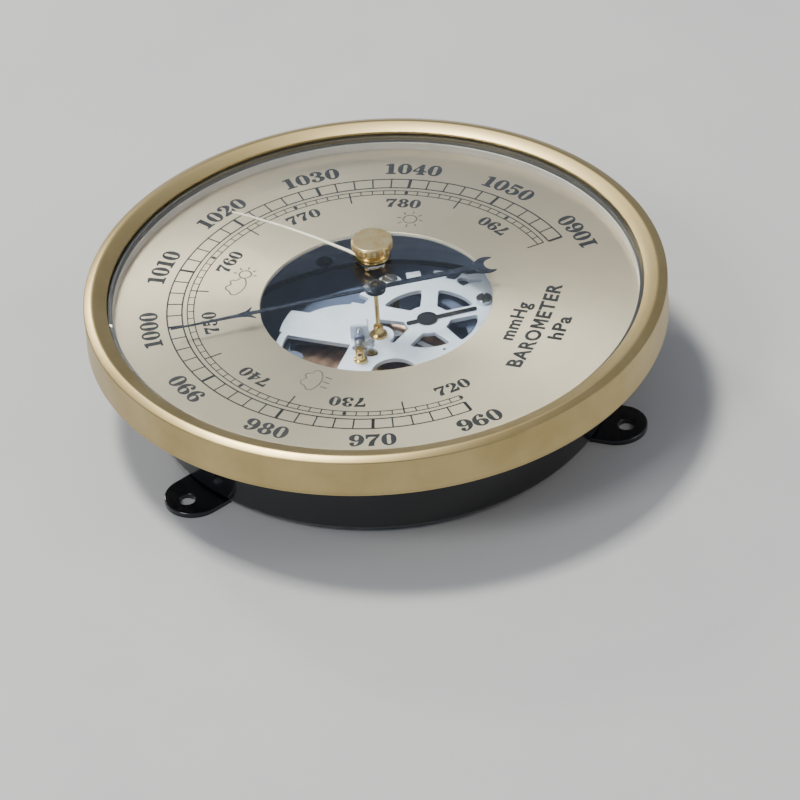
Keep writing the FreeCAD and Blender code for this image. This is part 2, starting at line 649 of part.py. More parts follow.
def rocker_block():
    p = level(ROCKER_BLOCK_U, SHAFT_N)
    block = box(-1.3, 1.3, -2.0, 2.0, BRIDGE_TOP, SHAFT_Z + 1.3)
    block = block.makeChamfer(0.35, [e for e in block.Edges if e.BoundBox.ZMin > SHAFT_Z + 1.2])
    block = moved(turned(block, U_DEG), V(p.x, p.y, 0))
    return block.cut(along_shaft(ROCKER_BLOCK_U - 4, PIVOT_R + 0.05, 8))


def shaft_collar(u, width):
    return along_shaft(u - width / 2, 1.15, width)


def lift_arm():
    root, tip = level(LIFT_U, SHAFT_N), level(LIFT_U, SHAFT_N + LIFT_LEN)
    arm = bar(root, tip, 1.6, SHAFT_Z - 0.35, SHAFT_Z + 0.35).fuse(shaft_collar(LIFT_U, 1.6))
    arm = arm.cut(along_shaft(LIFT_U - 3, 0.7, 6))
    return arm.cut(disc(tip.x, tip.y, 0.45, 10, 20)).removeSplitter()


def contact_screw():
    tip = level(LIFT_U, SHAFT_N + LIFT_LEN)
    return lathe([(0, 15.15), (0.25, 15.2), (0.45, 15.45), (0.45, SHAFT_Z + 0.35), (0.8, SHAFT_Z + 0.35),
                  (0.8, SHAFT_Z + 0.9), (0, SHAFT_Z + 0.9)], tip.x, tip.y)


def drop_arm():
    at = DROP_AT
    blade = box(-0.4, 0.4, -0.35, 0.35, LINK_Z, SHAFT_Z)
    blade = moved(turned(blade, U_DEG), V(at.x, at.y, 0))
    arm = blade.fuse(shaft_collar(DROP_U, 1.2))
    return arm.cut(along_shaft(DROP_U - 3, 0.7, 6)).removeSplitter()


def link_rod():
    z0, z1 = LINK_Z, LINK_Z + LINK_T
    rod = bar(DROP_AT, TAIL_AT, 1.1, z0, z1)
    rod = rod.fuse([disc(p.x, p.y, 1.1, z0, z1) for p in (DROP_AT, TAIL_AT)]).removeSplitter()
    eye = moved(turned(box(-0.6, 0.6, -0.5, 0.5, z0 - 1, z1 + 1), U_DEG), DROP_AT)
    return rod.cut([eye, disc(TAIL_AT.x, TAIL_AT.y, 0.42, z0 - 1, z1 + 1)])


# ---- sector ----
def sector_gear():
    """The toothed sector: a tooth points at the pinion at rest, and the tail carries the link's pin."""
    z0, z1 = SECTOR_Z, SECTOR_Z + SECTOR_T
    down_deg, up_deg = -18.0, 13.0
    rim_r = SECTOR_PITCH_R - 1.2 * MODULE
    pitch = 360 / (PINION_TEETH * SECTOR_RATIO)
    fan = [(0, 0), polar(30, down_deg), polar(30, (down_deg + up_deg) / 2), polar(30, up_deg)]
    rim = slab(fan, z0, z1).common(ring(rim_r, rim_r - 1.6, z0, z1))
    spokes = [bar(V(0, 0, 0), polar(rim_r - 0.8, a), 1.3, z0, z1) for a in (down_deg + 3, up_deg - 3)]
    one = tooth(SECTOR_PITCH_R, 0.7 * MODULE, 1.2 * MODULE, 0.05, z0, z1)
    count = [k for k in range(-20, 20) if down_deg + 0.8 < k * pitch < up_deg - 0.8]
    body = rim.fuse(spokes + [turned(one, k * pitch) for k in count] + [disc(0, 0, 1.7, z0, z1)])
    towards = math.degrees(math.atan2(-SECTOR_AT.y, -SECTOR_AT.x))
    body = moved(turned(body.removeSplitter(), towards), SECTOR_AT)
    tail = bar(SECTOR_AT, TAIL_AT, 1.4, z0, z1)
    body = body.fuse(tail).removeSplitter()
    return body.cut([disc(SECTOR_AT.x, SECTOR_AT.y, 0.6, z0 - 1, z1 + 1),
                     disc(TAIL_AT.x, TAIL_AT.y, 0.28, z0 - 1, z1 + 1)])


def tail_pin():
    return disc(TAIL_AT.x, TAIL_AT.y, 0.28, LINK_Z - 0.05, SECTOR_Z + SECTOR_T)


def sector_arbor():
    x, y = SECTOR_AT.x, SECTOR_AT.y
    low, high = LOWER_Z + LOWER_T + 0.03, BRIDGE_Z - 0.03
    return lathe([(0, LOWER_Z), (PIVOT_R, LOWER_Z), (PIVOT_R, low), (0.6, low), (0.6, high),
                  (PIVOT_R, high), (PIVOT_R, BRIDGE_TOP), (0, BRIDGE_TOP)], x, y)


NODES = (
    case_shell, mounting_lugs, lug_rivets, bezel, crystal, crystal_gasket, rehaut_ring, dial_plate,
    dial_seat_ring, set_knob, spindle_bush, bush_washer, bush_nut, set_spindle, friction_washer,
    set_collet, set_hand, pressure_hand, hand_hub, hand_arbor, arbor_bush, arbor_pinion,
    hairspring_collet, hairspring, hairspring_stud, bridge_plate, lower_plate, movement_pillars,
    plate_spacers, bridge_screws, index_arm, base_plate, base_screws, capsule_upper, capsule_lower, capsule_post,
    capsule_foot, capsule_spring_plate, spring_plate_block, spring_plate_screws, adjusting_bush,
    adjusting_screw, rocker_shaft, rocker_post, rocker_block, lift_arm, contact_screw, drop_arm,
    link_rod, sector_gear, tail_pin, sector_arbor)

for build in NODES:
    made = build()
    solids = made if isinstance(made, list) else [made]
    save(build.__name__, *solids)
    count = sum(len(s.Solids) for s in solids)
    volume = sum(s.Volume for s in solids)
    sound = all(s.isValid() for s in solids)
    print(f"{build.__name__:22s} solids {count}  volume {volume:9.3f} mm3  valid {sound}")
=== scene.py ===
"""Aneroid barometer: its looks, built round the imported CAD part.

Sizes in the classes are millimetres in the part's own frame: +Z is the dial's axis, +Y points to 12
o'clock, and z = 0 is the plane of the mounting lugs. Blender's metres come in only through MM.
"""

import json
import logging
import math
from collections.abc import Callable, Iterator, Sequence
from contextlib import contextmanager
from dataclasses import dataclass
from enum import Enum

import bpy
from mathutils import Matrix, Vector


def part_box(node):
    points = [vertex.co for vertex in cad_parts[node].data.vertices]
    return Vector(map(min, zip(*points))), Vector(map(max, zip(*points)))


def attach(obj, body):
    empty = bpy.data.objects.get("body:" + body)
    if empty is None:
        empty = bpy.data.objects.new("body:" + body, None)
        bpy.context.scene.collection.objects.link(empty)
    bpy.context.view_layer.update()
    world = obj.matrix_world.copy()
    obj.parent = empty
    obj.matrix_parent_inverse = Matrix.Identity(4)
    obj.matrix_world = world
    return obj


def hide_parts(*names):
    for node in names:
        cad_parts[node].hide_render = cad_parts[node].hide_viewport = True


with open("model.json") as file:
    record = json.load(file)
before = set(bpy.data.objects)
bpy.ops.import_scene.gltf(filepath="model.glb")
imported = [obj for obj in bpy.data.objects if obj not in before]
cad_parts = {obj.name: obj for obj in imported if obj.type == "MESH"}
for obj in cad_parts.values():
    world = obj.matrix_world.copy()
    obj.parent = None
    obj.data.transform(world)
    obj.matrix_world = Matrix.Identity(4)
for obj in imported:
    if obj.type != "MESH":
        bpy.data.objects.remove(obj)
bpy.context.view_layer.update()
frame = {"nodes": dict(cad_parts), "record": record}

LOG = logging.getLogger("barometer")
MM = 0.001
FULL_TURN = 2 * math.pi


# ---------------------------------------------------------------- finishes

def linear(colour: str) -> tuple[float, float, float, float]:
    """Turn an sRGB hex colour such as "#B0AFAA" into linear light.

    Args:
        colour: The colour, with its leading hash.

    Returns:
        Red, green, blue and an alpha of 1.
    """
    parts = [int(colour[i:i + 2], 16) / 255 for i in (1, 3, 5)]
    light = [c / 12.92 if c <= 0.04045 else ((c + 0.055) / 1.055) ** 2.4 for c in parts]
    return (*light, 1.0)


def add_node(tree: bpy.types.NodeTree, kind: str, settings: dict | None = None,
             links: dict | None = None) -> bpy.types.Node:
    """Add one shader node with its settings and its incoming links.

    Args:
        tree: The node tree that gets it.
        kind: The node's type without the ShaderNode in front.
        settings: Values by the name of a property, or by the name or number of an input.
        links: Output sockets by the name or number of the input that each one feeds.

    Returns:
        The new node.
    """
    node = tree.nodes.new("ShaderNode" + kind)
    for key, value in (settings or {}).items():
        if isinstance(key, str) and hasattr(node, key):
            setattr(node, key, value)
        else:
            node.inputs[key].default_value = value
    for key, source in (links or {}).items():
        tree.links.new(source, node.inputs[key])
    return node


def new_material(name: str) -> tuple[bpy.types.Material, bpy.types.NodeSocket]:
    """Start a material with an empty tree, and return it with its Object coordinates."""
    material = bpy.data.materials.new(name)
    material.use_nodes = True
    material.node_tree.nodes.clear()
    return material, add_node(material.node_tree, "TexCoord").outputs["Object"]


class Grain(Enum):
    """How a surface was worked, which sets the way its fine lines run."""

    TURNED = "rings round an axis"
    BRUSHED = "straight lines"
    PLAIN = "no direction"


@dataclass(frozen=True)
class Finish:
    """A worked surface: two tones in soft patches, a grain, and a gloss that varies with both.

    Attributes:
        name: The material's name.
        base: The main colour, in sRGB hex.
        film: The colour of the patches of tarnish, dust or thinner lacquer.
        roughness: The middle roughness.
        spread: How far the grain and the patches move the roughness either way.
        grain: The way that the lines run.
        pitch: Distance between lines, in mm.
        relief: Height of the lines, in mm.
        patch: Size of the patches of film, in mm.
        metallic: 1 for bare metal, less for pigment.
        coat: Weight of a clear lacquer.
        coat_roughness: Roughness of that lacquer.
        anisotropy: How far a turned surface stretches its highlights.
        centre: Axis of turned rings, in mm.
        ior: Index of refraction where it isn't a metal.
    """

    name: str
    base: str
    film: str
    roughness: float
    spread: float = 0.08
    grain: Grain = Grain.PLAIN
    pitch: float = 0.3
    relief: float = 0.004
    patch: float = 8.0
    metallic: float = 1.0
    coat: float = 0.0
    coat_roughness: float = 0.1
    anisotropy: float = 0.0
    centre: tuple[float, float] = (0.0, 0.0)
    ior: float = 1.5

    def lines(self, tree: bpy.types.NodeTree, place: bpy.types.NodeSocket) -> bpy.types.NodeSocket:
        """Add the noise that draws the grain.

        Args:
            tree: The material's tree.
            place: Object coordinates.

        Returns:
            A socket that runs from 0 to 1 across the lines.
        """
        per_metre = 1 / (self.pitch * MM)
        if self.grain is Grain.TURNED:
            shift = (-self.centre[0] * MM, -self.centre[1] * MM, 0)
            centred = add_node(tree, "Mapping", {"Location": shift}, {"Vector": place}).outputs[0]
            flat = add_node(tree, "VectorMath", {"operation": "MULTIPLY", 1: (1, 1, 0)}, {0: centred})
            radius = add_node(tree, "VectorMath", {"operation": "LENGTH"}, {0: flat.outputs[0]})
            height = add_node(tree, "SeparateXYZ", links={0: centred}).outputs["Z"]
            across = add_node(tree, "Math", {"operation": "SUBTRACT"},
                              {0: radius.outputs["Value"], 1: height}).outputs[0]
            settings = {"noise_dimensions": "1D", "Scale": per_metre, "Detail": 3.0}
            return add_node(tree, "TexNoise", settings, {"W": across}).outputs["Fac"]
        stretch = (0.04, 1, 1) if self.grain is Grain.BRUSHED else (1, 1, 1)
        spread = add_node(tree, "Mapping", {"Scale": stretch}, {"Vector": place}).outputs[0]
        return add_node(tree, "TexNoise", {"Scale": per_metre, "Detail": 4.0},
                        {"Vector": spread}).outputs["Fac"]

    def build(self) -> bpy.types.Material:
        """Make the material.

        Returns:
            A material with a Principled shader, fed by the patches and the grain.
        """
        material, place = new_material(self.name)
        tree = material.node_tree
        patches = add_node(tree, "TexNoise", {"Scale": 1 / (self.patch * MM), "Detail": 5.0,
                                              "Roughness": 0.6}, {"Vector": place}).outputs["Fac"]
        lines = self.lines(tree, place)
        share = add_node(tree, "MapRange", {"From Min": 0.4, "From Max": 0.75}, {"Value": patches})
        tone = add_node(tree, "Mix", {"data_type": "RGBA", 6: linear(self.base), 7: linear(self.film)},
                        {0: share.outputs[0]})
        worked = add_node(tree, "Math", {"operation": "ADD"}, {0: patches, 1: lines}).outputs[0]
        gloss = add_node(tree, "MapRange", {"From Min": 0.6, "From Max": 1.4,
                                            "To Min": max(self.roughness - self.spread, 0.02),
                                            "To Max": self.roughness + self.spread}, {"Value": worked})
        bump = add_node(tree, "Bump", {"Strength": 1.0, "Distance": self.relief * MM}, {"Height": lines})
        settings = {"Metallic": self.metallic, "IOR": self.ior, "Coat Weight": self.coat,
                    "Coat Roughness": self.coat_roughness, "Anisotropic": self.anisotropy}
        links = {"Base Color": tone.outputs[2], "Roughness": gloss.outputs[0], "Normal": bump.outputs[0]}
        if self.anisotropy:
            tangent = add_node(tree, "Tangent", {"direction_type": "RADIAL", "axis": "Z"})
            links["Tangent"] = tangent.outputs[0]
        surface = add_node(tree, "BsdfPrincipled", settings, links)
        add_node(tree, "OutputMaterial", links={"Surface": surface.outputs[0]})
        return material


@dataclass(frozen=True)
class GlassFinish:
    """Clear mineral glass, polished: it bends what is behind it, and lamps shine through it."""

    name: str
    tint: str
    roughness: float = 0.02
    ior: float = 1.5

    def build(self) -> bpy.types.Material:
        """Make the material, with faint wiping marks in its roughness.

        Returns:
            A Principled glass that lets shadow rays pass.
        """
        material, place = new_material(self.name)
        tree = material.node_tree
        smears = add_node(tree, "TexNoise", {"Scale": 1 / (14 * MM), "Detail": 6.0}, {"Vector": place})
        gloss = add_node(tree, "MapRange", {"From Min": 0.45, "From Max": 0.8, "To Min": 0.0,
                                            "To Max": self.roughness}, {"Value": smears.outputs["Fac"]})
        glass = add_node(tree, "BsdfPrincipled",
                         {"Base Color": linear(self.tint), "IOR": self.ior, "Transmission Weight": 1.0},
                         {"Roughness": gloss.outputs[0]})
        clear = add_node(tree, "BsdfTransparent", {"Color": linear(self.tint)})
        path = add_node(tree, "LightPath")
        both = add_node(tree, "MixShader", links={0: path.outputs["Is Shadow Ray"], 1: glass.outputs[0],
                                                  2: clear.outputs[0]})
        add_node(tree, "OutputMaterial", links={"Surface": both.outputs[0]})
        return material


class Finishes:
    """Every material of the barometer, each made the first time that a piece asks for it."""

    # Drawn brass, satin-turned and lacquered: a soft gold with rings of fine lines.
    SATIN_BRASS = Finish("satin_turned_brass", "#BDA876", "#A79260", 0.33, 0.05, Grain.TURNED,
                         pitch=0.2, relief=0.001, patch=22, metallic=0.85, anisotropy=0.45)
    # Brass turned bright in the lathe: knob, bushes and pillars, with a redder film in the corners.
    BRIGHT_BRASS = Finish("polished_brass", "#E3C378", "#B98E4B", 0.16, 0.06, Grain.TURNED,
                          pitch=0.12, relief=0.0015, patch=2.5)
    # The set knob's brass, turned to a softer satin than the bushes, so its flat top glows evenly.
    KNOB_BRASS = Finish("satin_knob_brass", "#EFDAA6", "#D3B06E", 0.27, 0.06, Grain.TURNED,
                        pitch=0.15, relief=0.002, patch=2.5, metallic=0.8)
    # Anodised aluminium, brushed round the middle: warm grey champagne with a soft sheen.
    CHAMPAGNE = Finish("champagne_anodised_aluminium", "#CDBFA6", "#BFB096", 0.35, 0.07, Grain.TURNED,
                       pitch=0.35, relief=0.0012, patch=34, metallic=0.85, anisotropy=0.7)
    # Stoved enamel on pressed steel: black, glossy, with the faint waves of a dipped coat.
    BLACK_ENAMEL = Finish("black_stoved_enamel", "#0B0B0D", "#141417", 0.22, 0.05, pitch=1.6,
                          relief=0.004, patch=12, metallic=0.0, coat=0.8, coat_roughness=0.05)
    # Frosted nickel on sheet: a cold pale grey that stays light whatever it faces.
    NICKEL = Finish("frosted_nickel_sheet", "#D3DCEA", "#C2CCDC", 0.42, 0.07, Grain.BRUSHED,
                    pitch=0.08, relief=0.0012, patch=5, metallic=0.25)
    # Steel plate with a blue-grey lacquer, as the plates deep in the pot have.
    SLATE_LACQUER = Finish("slate_lacquered_steel", "#515C75", "#444E65", 0.4, 0.06, pitch=0.5,
                           relief=0.002, patch=10, metallic=0.0)
    # The slate paint inside the pot: painted light, its colour made far lighter than the plates' to stand in
    # for light that the shaded depth of the pot doesn't get.
    SLATE_PAINT = Finish("slate_paint", "#B4C0DC", "#9DABC8", 0.5, 0.08, pitch=0.8, relief=0.004,
                         patch=12, metallic=0.0)
    # Hard rolled steel, ground bright.
    STEEL = Finish("ground_steel", "#C9CCD1", "#A9ADB4", 0.24, 0.08, Grain.BRUSHED, pitch=0.06,
                   relief=0.0012, patch=3)
    # Steel heated to a deep blue-black, thinly oiled.
    BLUED_STEEL = Finish("blued_steel", "#1B2230", "#2B3446", 0.30, 0.08, pitch=0.2, relief=0.001,
                         patch=3, metallic=0.6, coat=0.3, coat_roughness=0.2)
    # Beryllium copper with the brown skin that heat treatment leaves.
    COPPER_ALLOY = Finish("oxidised_beryllium_copper", "#A0826E", "#7A5F50", 0.36, 0.1, Grain.TURNED,
                          pitch=0.2, relief=0.002, patch=4, metallic=0.6)
    # Thin brass strip with a pale gilt wash.
    PALE_GILT = Finish("pale_gilt", "#F3EBD8", "#E2D6BC", 0.35, 0.06, Grain.BRUSHED, pitch=0.08,
                       relief=0.001, patch=3, metallic=0.3)
    # Satin lacquer on aluminium, for the rings under the glass.
    GREY_LACQUER = Finish("grey_satin_lacquer", "#B2ADA6", "#A39E97", 0.42, 0.06, pitch=0.4,
                          relief=0.001, patch=8, metallic=0.3)
    # Moulded nitrile rubber: black and dull.
    RUBBER = Finish("moulded_rubber", "#111111", "#1C1B1A", 0.62, 0.08, pitch=0.4, relief=0.006,
                    patch=3, metallic=0.0)
    # Screen ink, dried hard: nearly black, a little glossier where it lies thick.
    INK = Finish("screen_printed_ink", "#050506", "#0B0B0D", 0.6, 0.08, pitch=0.12, relief=0.002,
                 patch=2, metallic=0.0, ior=1.3)
    # The thinner brown-grey ink of the weather signs.
    SIGN_INK = Finish("thin_sign_ink", "#4C4337", "#5C5347", 0.55, 0.08, pitch=0.12, relief=0.001,
                      patch=2, metallic=0.0)
    # Matt paint on the studio table.
    TABLE = Finish("pale_matt_table", "#CFCFCD", "#C9C9C8", 0.55, 0.05, pitch=1.2, relief=0.01,
                   patch=60, metallic=0.0)
    GLASS = GlassFinish("mineral_glass", "#F7FAFA")
    # What the pieces of each slot of the record are made of, unless they say otherwise.
    OF_SLOT = {"satin_brass": SATIN_BRASS, "turned_brass": BRIGHT_BRASS, "champagne_dial": CHAMPAGNE,
               "black_enamel": BLACK_ENAMEL, "nickel_plate": NICKEL, "dark_steel": SLATE_LACQUER,
               "steel": STEEL, "blued_steel": BLUED_STEEL, "copper_alloy": COPPER_ALLOY,
               "pale_gilt": PALE_GILT, "grey_lacquer": GREY_LACQUER, "black_rubber": RUBBER,
               "clear_glass": GLASS}

    def __init__(self) -> None:
        """Start with no material made."""
        self._made: dict[str, bpy.types.Material] = {}

    def __call__(self, finish: Finish | GlassFinish) -> bpy.types.Material:
        """Return the finish's material, and make it if this is its first use."""
        if finish.name not in self._made:
            self._made[finish.name] = finish.build()
        return self._made[finish.name]


# ---------------------------------------------------------------- the bench

Profile = Sequence[tuple[float, ...]]
Loop = Sequence[tuple[float, ...]]
SLOT_OF_NODE = {row["node"]: row["material_slot"] for row in frame["record"]["subparts"]}


def eased(points: Profile, steps: int = 5) -> list[Vector]:
    """Round those corners of an outline that carry a third number.

    Args:
        points: Two coordinates each, and how far before the corner its rounding starts, if it has one.
        steps: Pieces in each rounding.

    Returns:
        The outline's points.
    """
    path: list[Vector] = []
    for i, (a, b, *reach) in enumerate(points):
        here = Vector((a, b))
        if not reach:
            path.append(here)
            continue
        before = (Vector(points[i - 1][:2]) - here).normalized() * reach[0]
        after = (Vector(points[(i + 1) % len(points)][:2]) - here).normalized() * reach[0]
        for k in range(steps + 1):
            t = k / steps
            path.append(here + before * (1 - t) ** 2 + after * t ** 2)
    return path


def polar(radius: float, degrees: float) -> Vector:
    """Return the point on the dial at a radius and an angle anticlockwise from 3 o'clock."""
    angle = math.radians(degrees)
    return Vector((radius * math.cos(angle), radius * math.sin(angle)))


def hung(name: str, data: bpy.types.ID) -> bpy.types.Object:
    """Put data into the scene as an object, and return the object."""
    thing = bpy.data.objects.new(name, data)
    bpy.context.scene.collection.objects.link(thing)
    return thing


@dataclass(frozen=True)
class Fitting:
    """A piece that keeps its CAD form but for rounded edges.

    Attributes:
        node: The CAD node.
        width: Width of the rounding, in mm.
        body: The CAD body that it moves with.
        name: The piece's name, or nothing for the node's name and _finished.
        finish: What it is made of, or nothing for its slot's usual finish.
    """

    node: str
    width: float
    body: str = "case"
    name: str = ""
    finish: Finish | None = None


class Bench:
    """Modelling steps that every sub-assembly uses, all of them Blender's own operators."""

    def __init__(self, finishes: Finishes) -> None:
        """Keep the finishes at hand."""
        self.finishes = finishes

    @staticmethod
    def pick(*pieces: bpy.types.Object) -> None:
        """Select these pieces alone, with the first one active."""
        bpy.ops.object.select_all(action="DESELECT")
        for piece in pieces:
            piece.select_set(True)
        bpy.context.view_layer.objects.active = pieces[0] if pieces else None

    @staticmethod
    def settle() -> bpy.types.Object:
        """Apply the active piece's place, turn and size to its mesh, and return it."""
        bpy.ops.object.transform_apply(location=True, rotation=True, scale=True)
        return bpy.context.object

    @contextmanager
    def editing(self, piece: bpy.types.Object, kind: str = "VERT",
                chosen: Callable[[Vector], bool] | None = None) -> Iterator[None]:
        """Open a piece in edit mode.

        Args:
            piece: The piece to edit.
            kind: VERT, EDGE or FACE.
            chosen: Says, from an element's middle in mm, if it is selected; without it, all are.
        """
        self.pick(piece)
        bpy.ops.object.mode_set(mode="EDIT")
        bpy.ops.mesh.select_mode(type=kind)
        bpy.ops.mesh.select_all(action="SELECT" if chosen is None else "DESELECT")
        if chosen is not None:
            bpy.ops.object.mode_set(mode="OBJECT")
            mesh = piece.data
            if kind == "FACE":
                for face in mesh.polygons:
                    face.select = chosen(face.center / MM)
            elif kind == "EDGE":
                for edge in mesh.edges:
                    ends = [mesh.vertices[i].co for i in edge.vertices]
                    edge.select = chosen((ends[0] + ends[1]) / (2 * MM))
            else:
                for vertex in mesh.vertices:
                    vertex.select = chosen(vertex.co / MM)
            bpy.ops.object.mode_set(mode="EDIT")
        yield
        bpy.ops.object.mode_set(mode="OBJECT")

    def lathe(self, name: str, outline: Sequence[Vector], segments: int = 128,
              centre: tuple[float, float] = (0.0, 0.0)) -> bpy.types.Object:
        """Turn a closed outline about a vertical axis.

        Args:
            name: The piece's name.
            outline: Radius and height of each point, in order, in mm.
            segments: Facets in the full turn.
            centre: The axis, in mm.

        Returns:
            A closed piece with smooth faces.
        """
        bpy.ops.object.select_all(action="DESELECT")
        start = outline[0]
        bpy.ops.mesh.primitive_plane_add(
            size=MM, location=((centre[0] + start.x) * MM, centre[1] * MM, start.y * MM))
        piece = self.settle()
        piece.name = piece.data.name = name
        with self.editing(piece):
            bpy.ops.mesh.merge(type="CENTER")
            loop = list(outline[1:]) + [start]
            for before, after in zip(outline, loop):
                step = after - before
                bpy.ops.mesh.extrude_vertices_move(
                    TRANSFORM_OT_translate={"value": (step.x * MM, 0, step.y * MM)})
            bpy.ops.mesh.select_all(action="SELECT")
            bpy.ops.mesh.spin(steps=segments, angle=-FULL_TURN, axis=(0, 0, 1),
                              center=(centre[0] * MM, centre[1] * MM, 0))
            bpy.ops.mesh.select_all(action="SELECT")
            bpy.ops.mesh.remove_doubles(threshold=0.002 * MM)
            bpy.ops.mesh.delete_loose(use_verts=True, use_edges=True, use_faces=False)
            bpy.ops.mesh.select_all(action="SELECT")
            bpy.ops.mesh.normals_make_consistent(inside=False)
        self.smooth(piece, 35)
        return piece

    def smooth(self, piece: bpy.types.Object, degrees: float) -> None:
        """Shade a piece smooth, but for edges sharper than the angle."""
        self.pick(piece)
        bpy.ops.object.shade_smooth_by_angle(angle=math.radians(degrees))

    def modify(self, piece: bpy.types.Object, kind: str, **settings: object) -> None:
        """Add a modifier with these settings and apply it."""
        self.pick(piece)
        modifier = piece.modifiers.new(kind.title(), kind)
        for key, value in settings.items():
            setattr(modifier, key, value)
        bpy.ops.object.modifier_apply(modifier=modifier.name)

    def soften(self, piece: bpy.types.Object, width: float) -> None:
        """Round a piece's sharp edges to a width in mm, and keep its flats flat."""
        self.modify(piece, "BEVEL", width=width * MM, segments=2, limit_method="ANGLE",
                    angle_limit=math.radians(35), use_clamp_overlap=True)
        self.pick(piece)
        bpy.ops.object.shade_smooth()
        self.modify(piece, "WEIGHTED_NORMAL", mode="FACE_AREA", weight=60)

    def refine(self, *fittings: Fitting) -> None:
        """Copy CAD nodes, merge their triangles into flats, and round their edges."""
        for fitting in fittings:
            node = fitting.node
            name = fitting.name or node + "_finished"
            piece = hung(name, frame["nodes"][node].data.copy())
            piece.data.name = name
            self.pick(piece)
            bpy.ops.mesh.customdata_custom_splitnormals_clear()
            with self.editing(piece):
                bpy.ops.mesh.remove_doubles(threshold=0.001 * MM)
                bpy.ops.mesh.dissolve_limited(angle_limit=math.radians(0.4))
            self.soften(piece, fitting.width)
            self.dress(piece, SLOT_OF_NODE[node], fitting.body, fitting.finish, node)

    def join(self, name: str, parts: list[bpy.types.Object]) -> bpy.types.Object:
        """Make one piece of several, under a name."""
        self.pick(*parts)
        if len(parts) > 1:
            bpy.ops.object.join()
        piece = bpy.context.object
        piece.name = piece.data.name = name
        return piece

    def placed(self, source: bpy.types.Object, matrix: Matrix) -> bpy.types.Object:
        """Copy a piece, mesh and all, and put the copy in place by changing its mesh."""
        copy = hung(source.name, source.data.copy())
        copy.data.transform(matrix)
        return copy

    def drawn(self, name: str, loops: Sequence[Loop], z: float = 0.0, flatness: float = 1.0,
              closed: bool = True, **settings: object) -> bpy.types.Object:
        """Draw lines as a curve and turn it into a mesh.

        Args:
            name: The piece's name.
            loops: Each line's points in mm: x, y, and a third number at a corner.
            z: Height of the drawing, in mm.
            flatness: How far the drawing is scaled along Z.
            closed: Whether each line comes back to its start.
            settings: The curve's own settings, with dimensions first.

        Returns:
            The mesh.
        """
        curve = bpy.data.curves.new(name, "CURVE")
        for key, value in settings.items():
            setattr(curve, key, value)
        for loop in loops:
            spline = curve.splines.new("BEZIER")
            spline.bezier_points.add(len(loop) - 1)
            spline.use_cyclic_u = closed
            for point, (x, y, *corner) in zip(spline.bezier_points, loop):
                point.co = (x * MM, y * MM, 0)
                point.handle_left_type = point.handle_right_type = "VECTOR" if corner else "AUTO"
        piece = hung(name, curve)
        piece.location.z, piece.scale.z = z * MM, flatness
        return self.as_mesh(piece)

    def as_mesh(self, piece: bpy.types.Object) -> bpy.types.Object:
        """Turn a curve or text into a mesh with its place applied and its doubles merged."""
        self.pick(piece)
        bpy.ops.object.convert(target="MESH")
        piece = self.settle()
        with self.editing(piece):
            bpy.ops.mesh.remove_doubles(threshold=0.0005 * MM)
            bpy.ops.mesh.normals_make_consistent(inside=False)
        return piece

    def dress(self, piece: bpy.types.Object, slot: str, body: str = "case",
              finish: Finish | GlassFinish | None = None, node: str = "") -> None:
        """Give a piece its material, chosen by its slot, and its body.

        Args:
            piece: The finished piece.
            slot: The record's material slot.
            body: The CAD body that it moves with.
            finish: What it is made of, if that isn't the slot's usual finish.
            node: The CAD node that it replaces, if there is one.
        """
        piece.data.materials.clear()
        piece.data.materials.append(self.finishes(finish or Finishes.OF_SLOT[slot]))
        for face in piece.data.polygons:
            face.material_index = 0
        if node:
            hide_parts(node)
        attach(piece, body)
        LOG.info("%s: %d faces, rides on %s", piece.name, len(piece.data.polygons), body)


# ---------------------------------------------------------------- case and glass

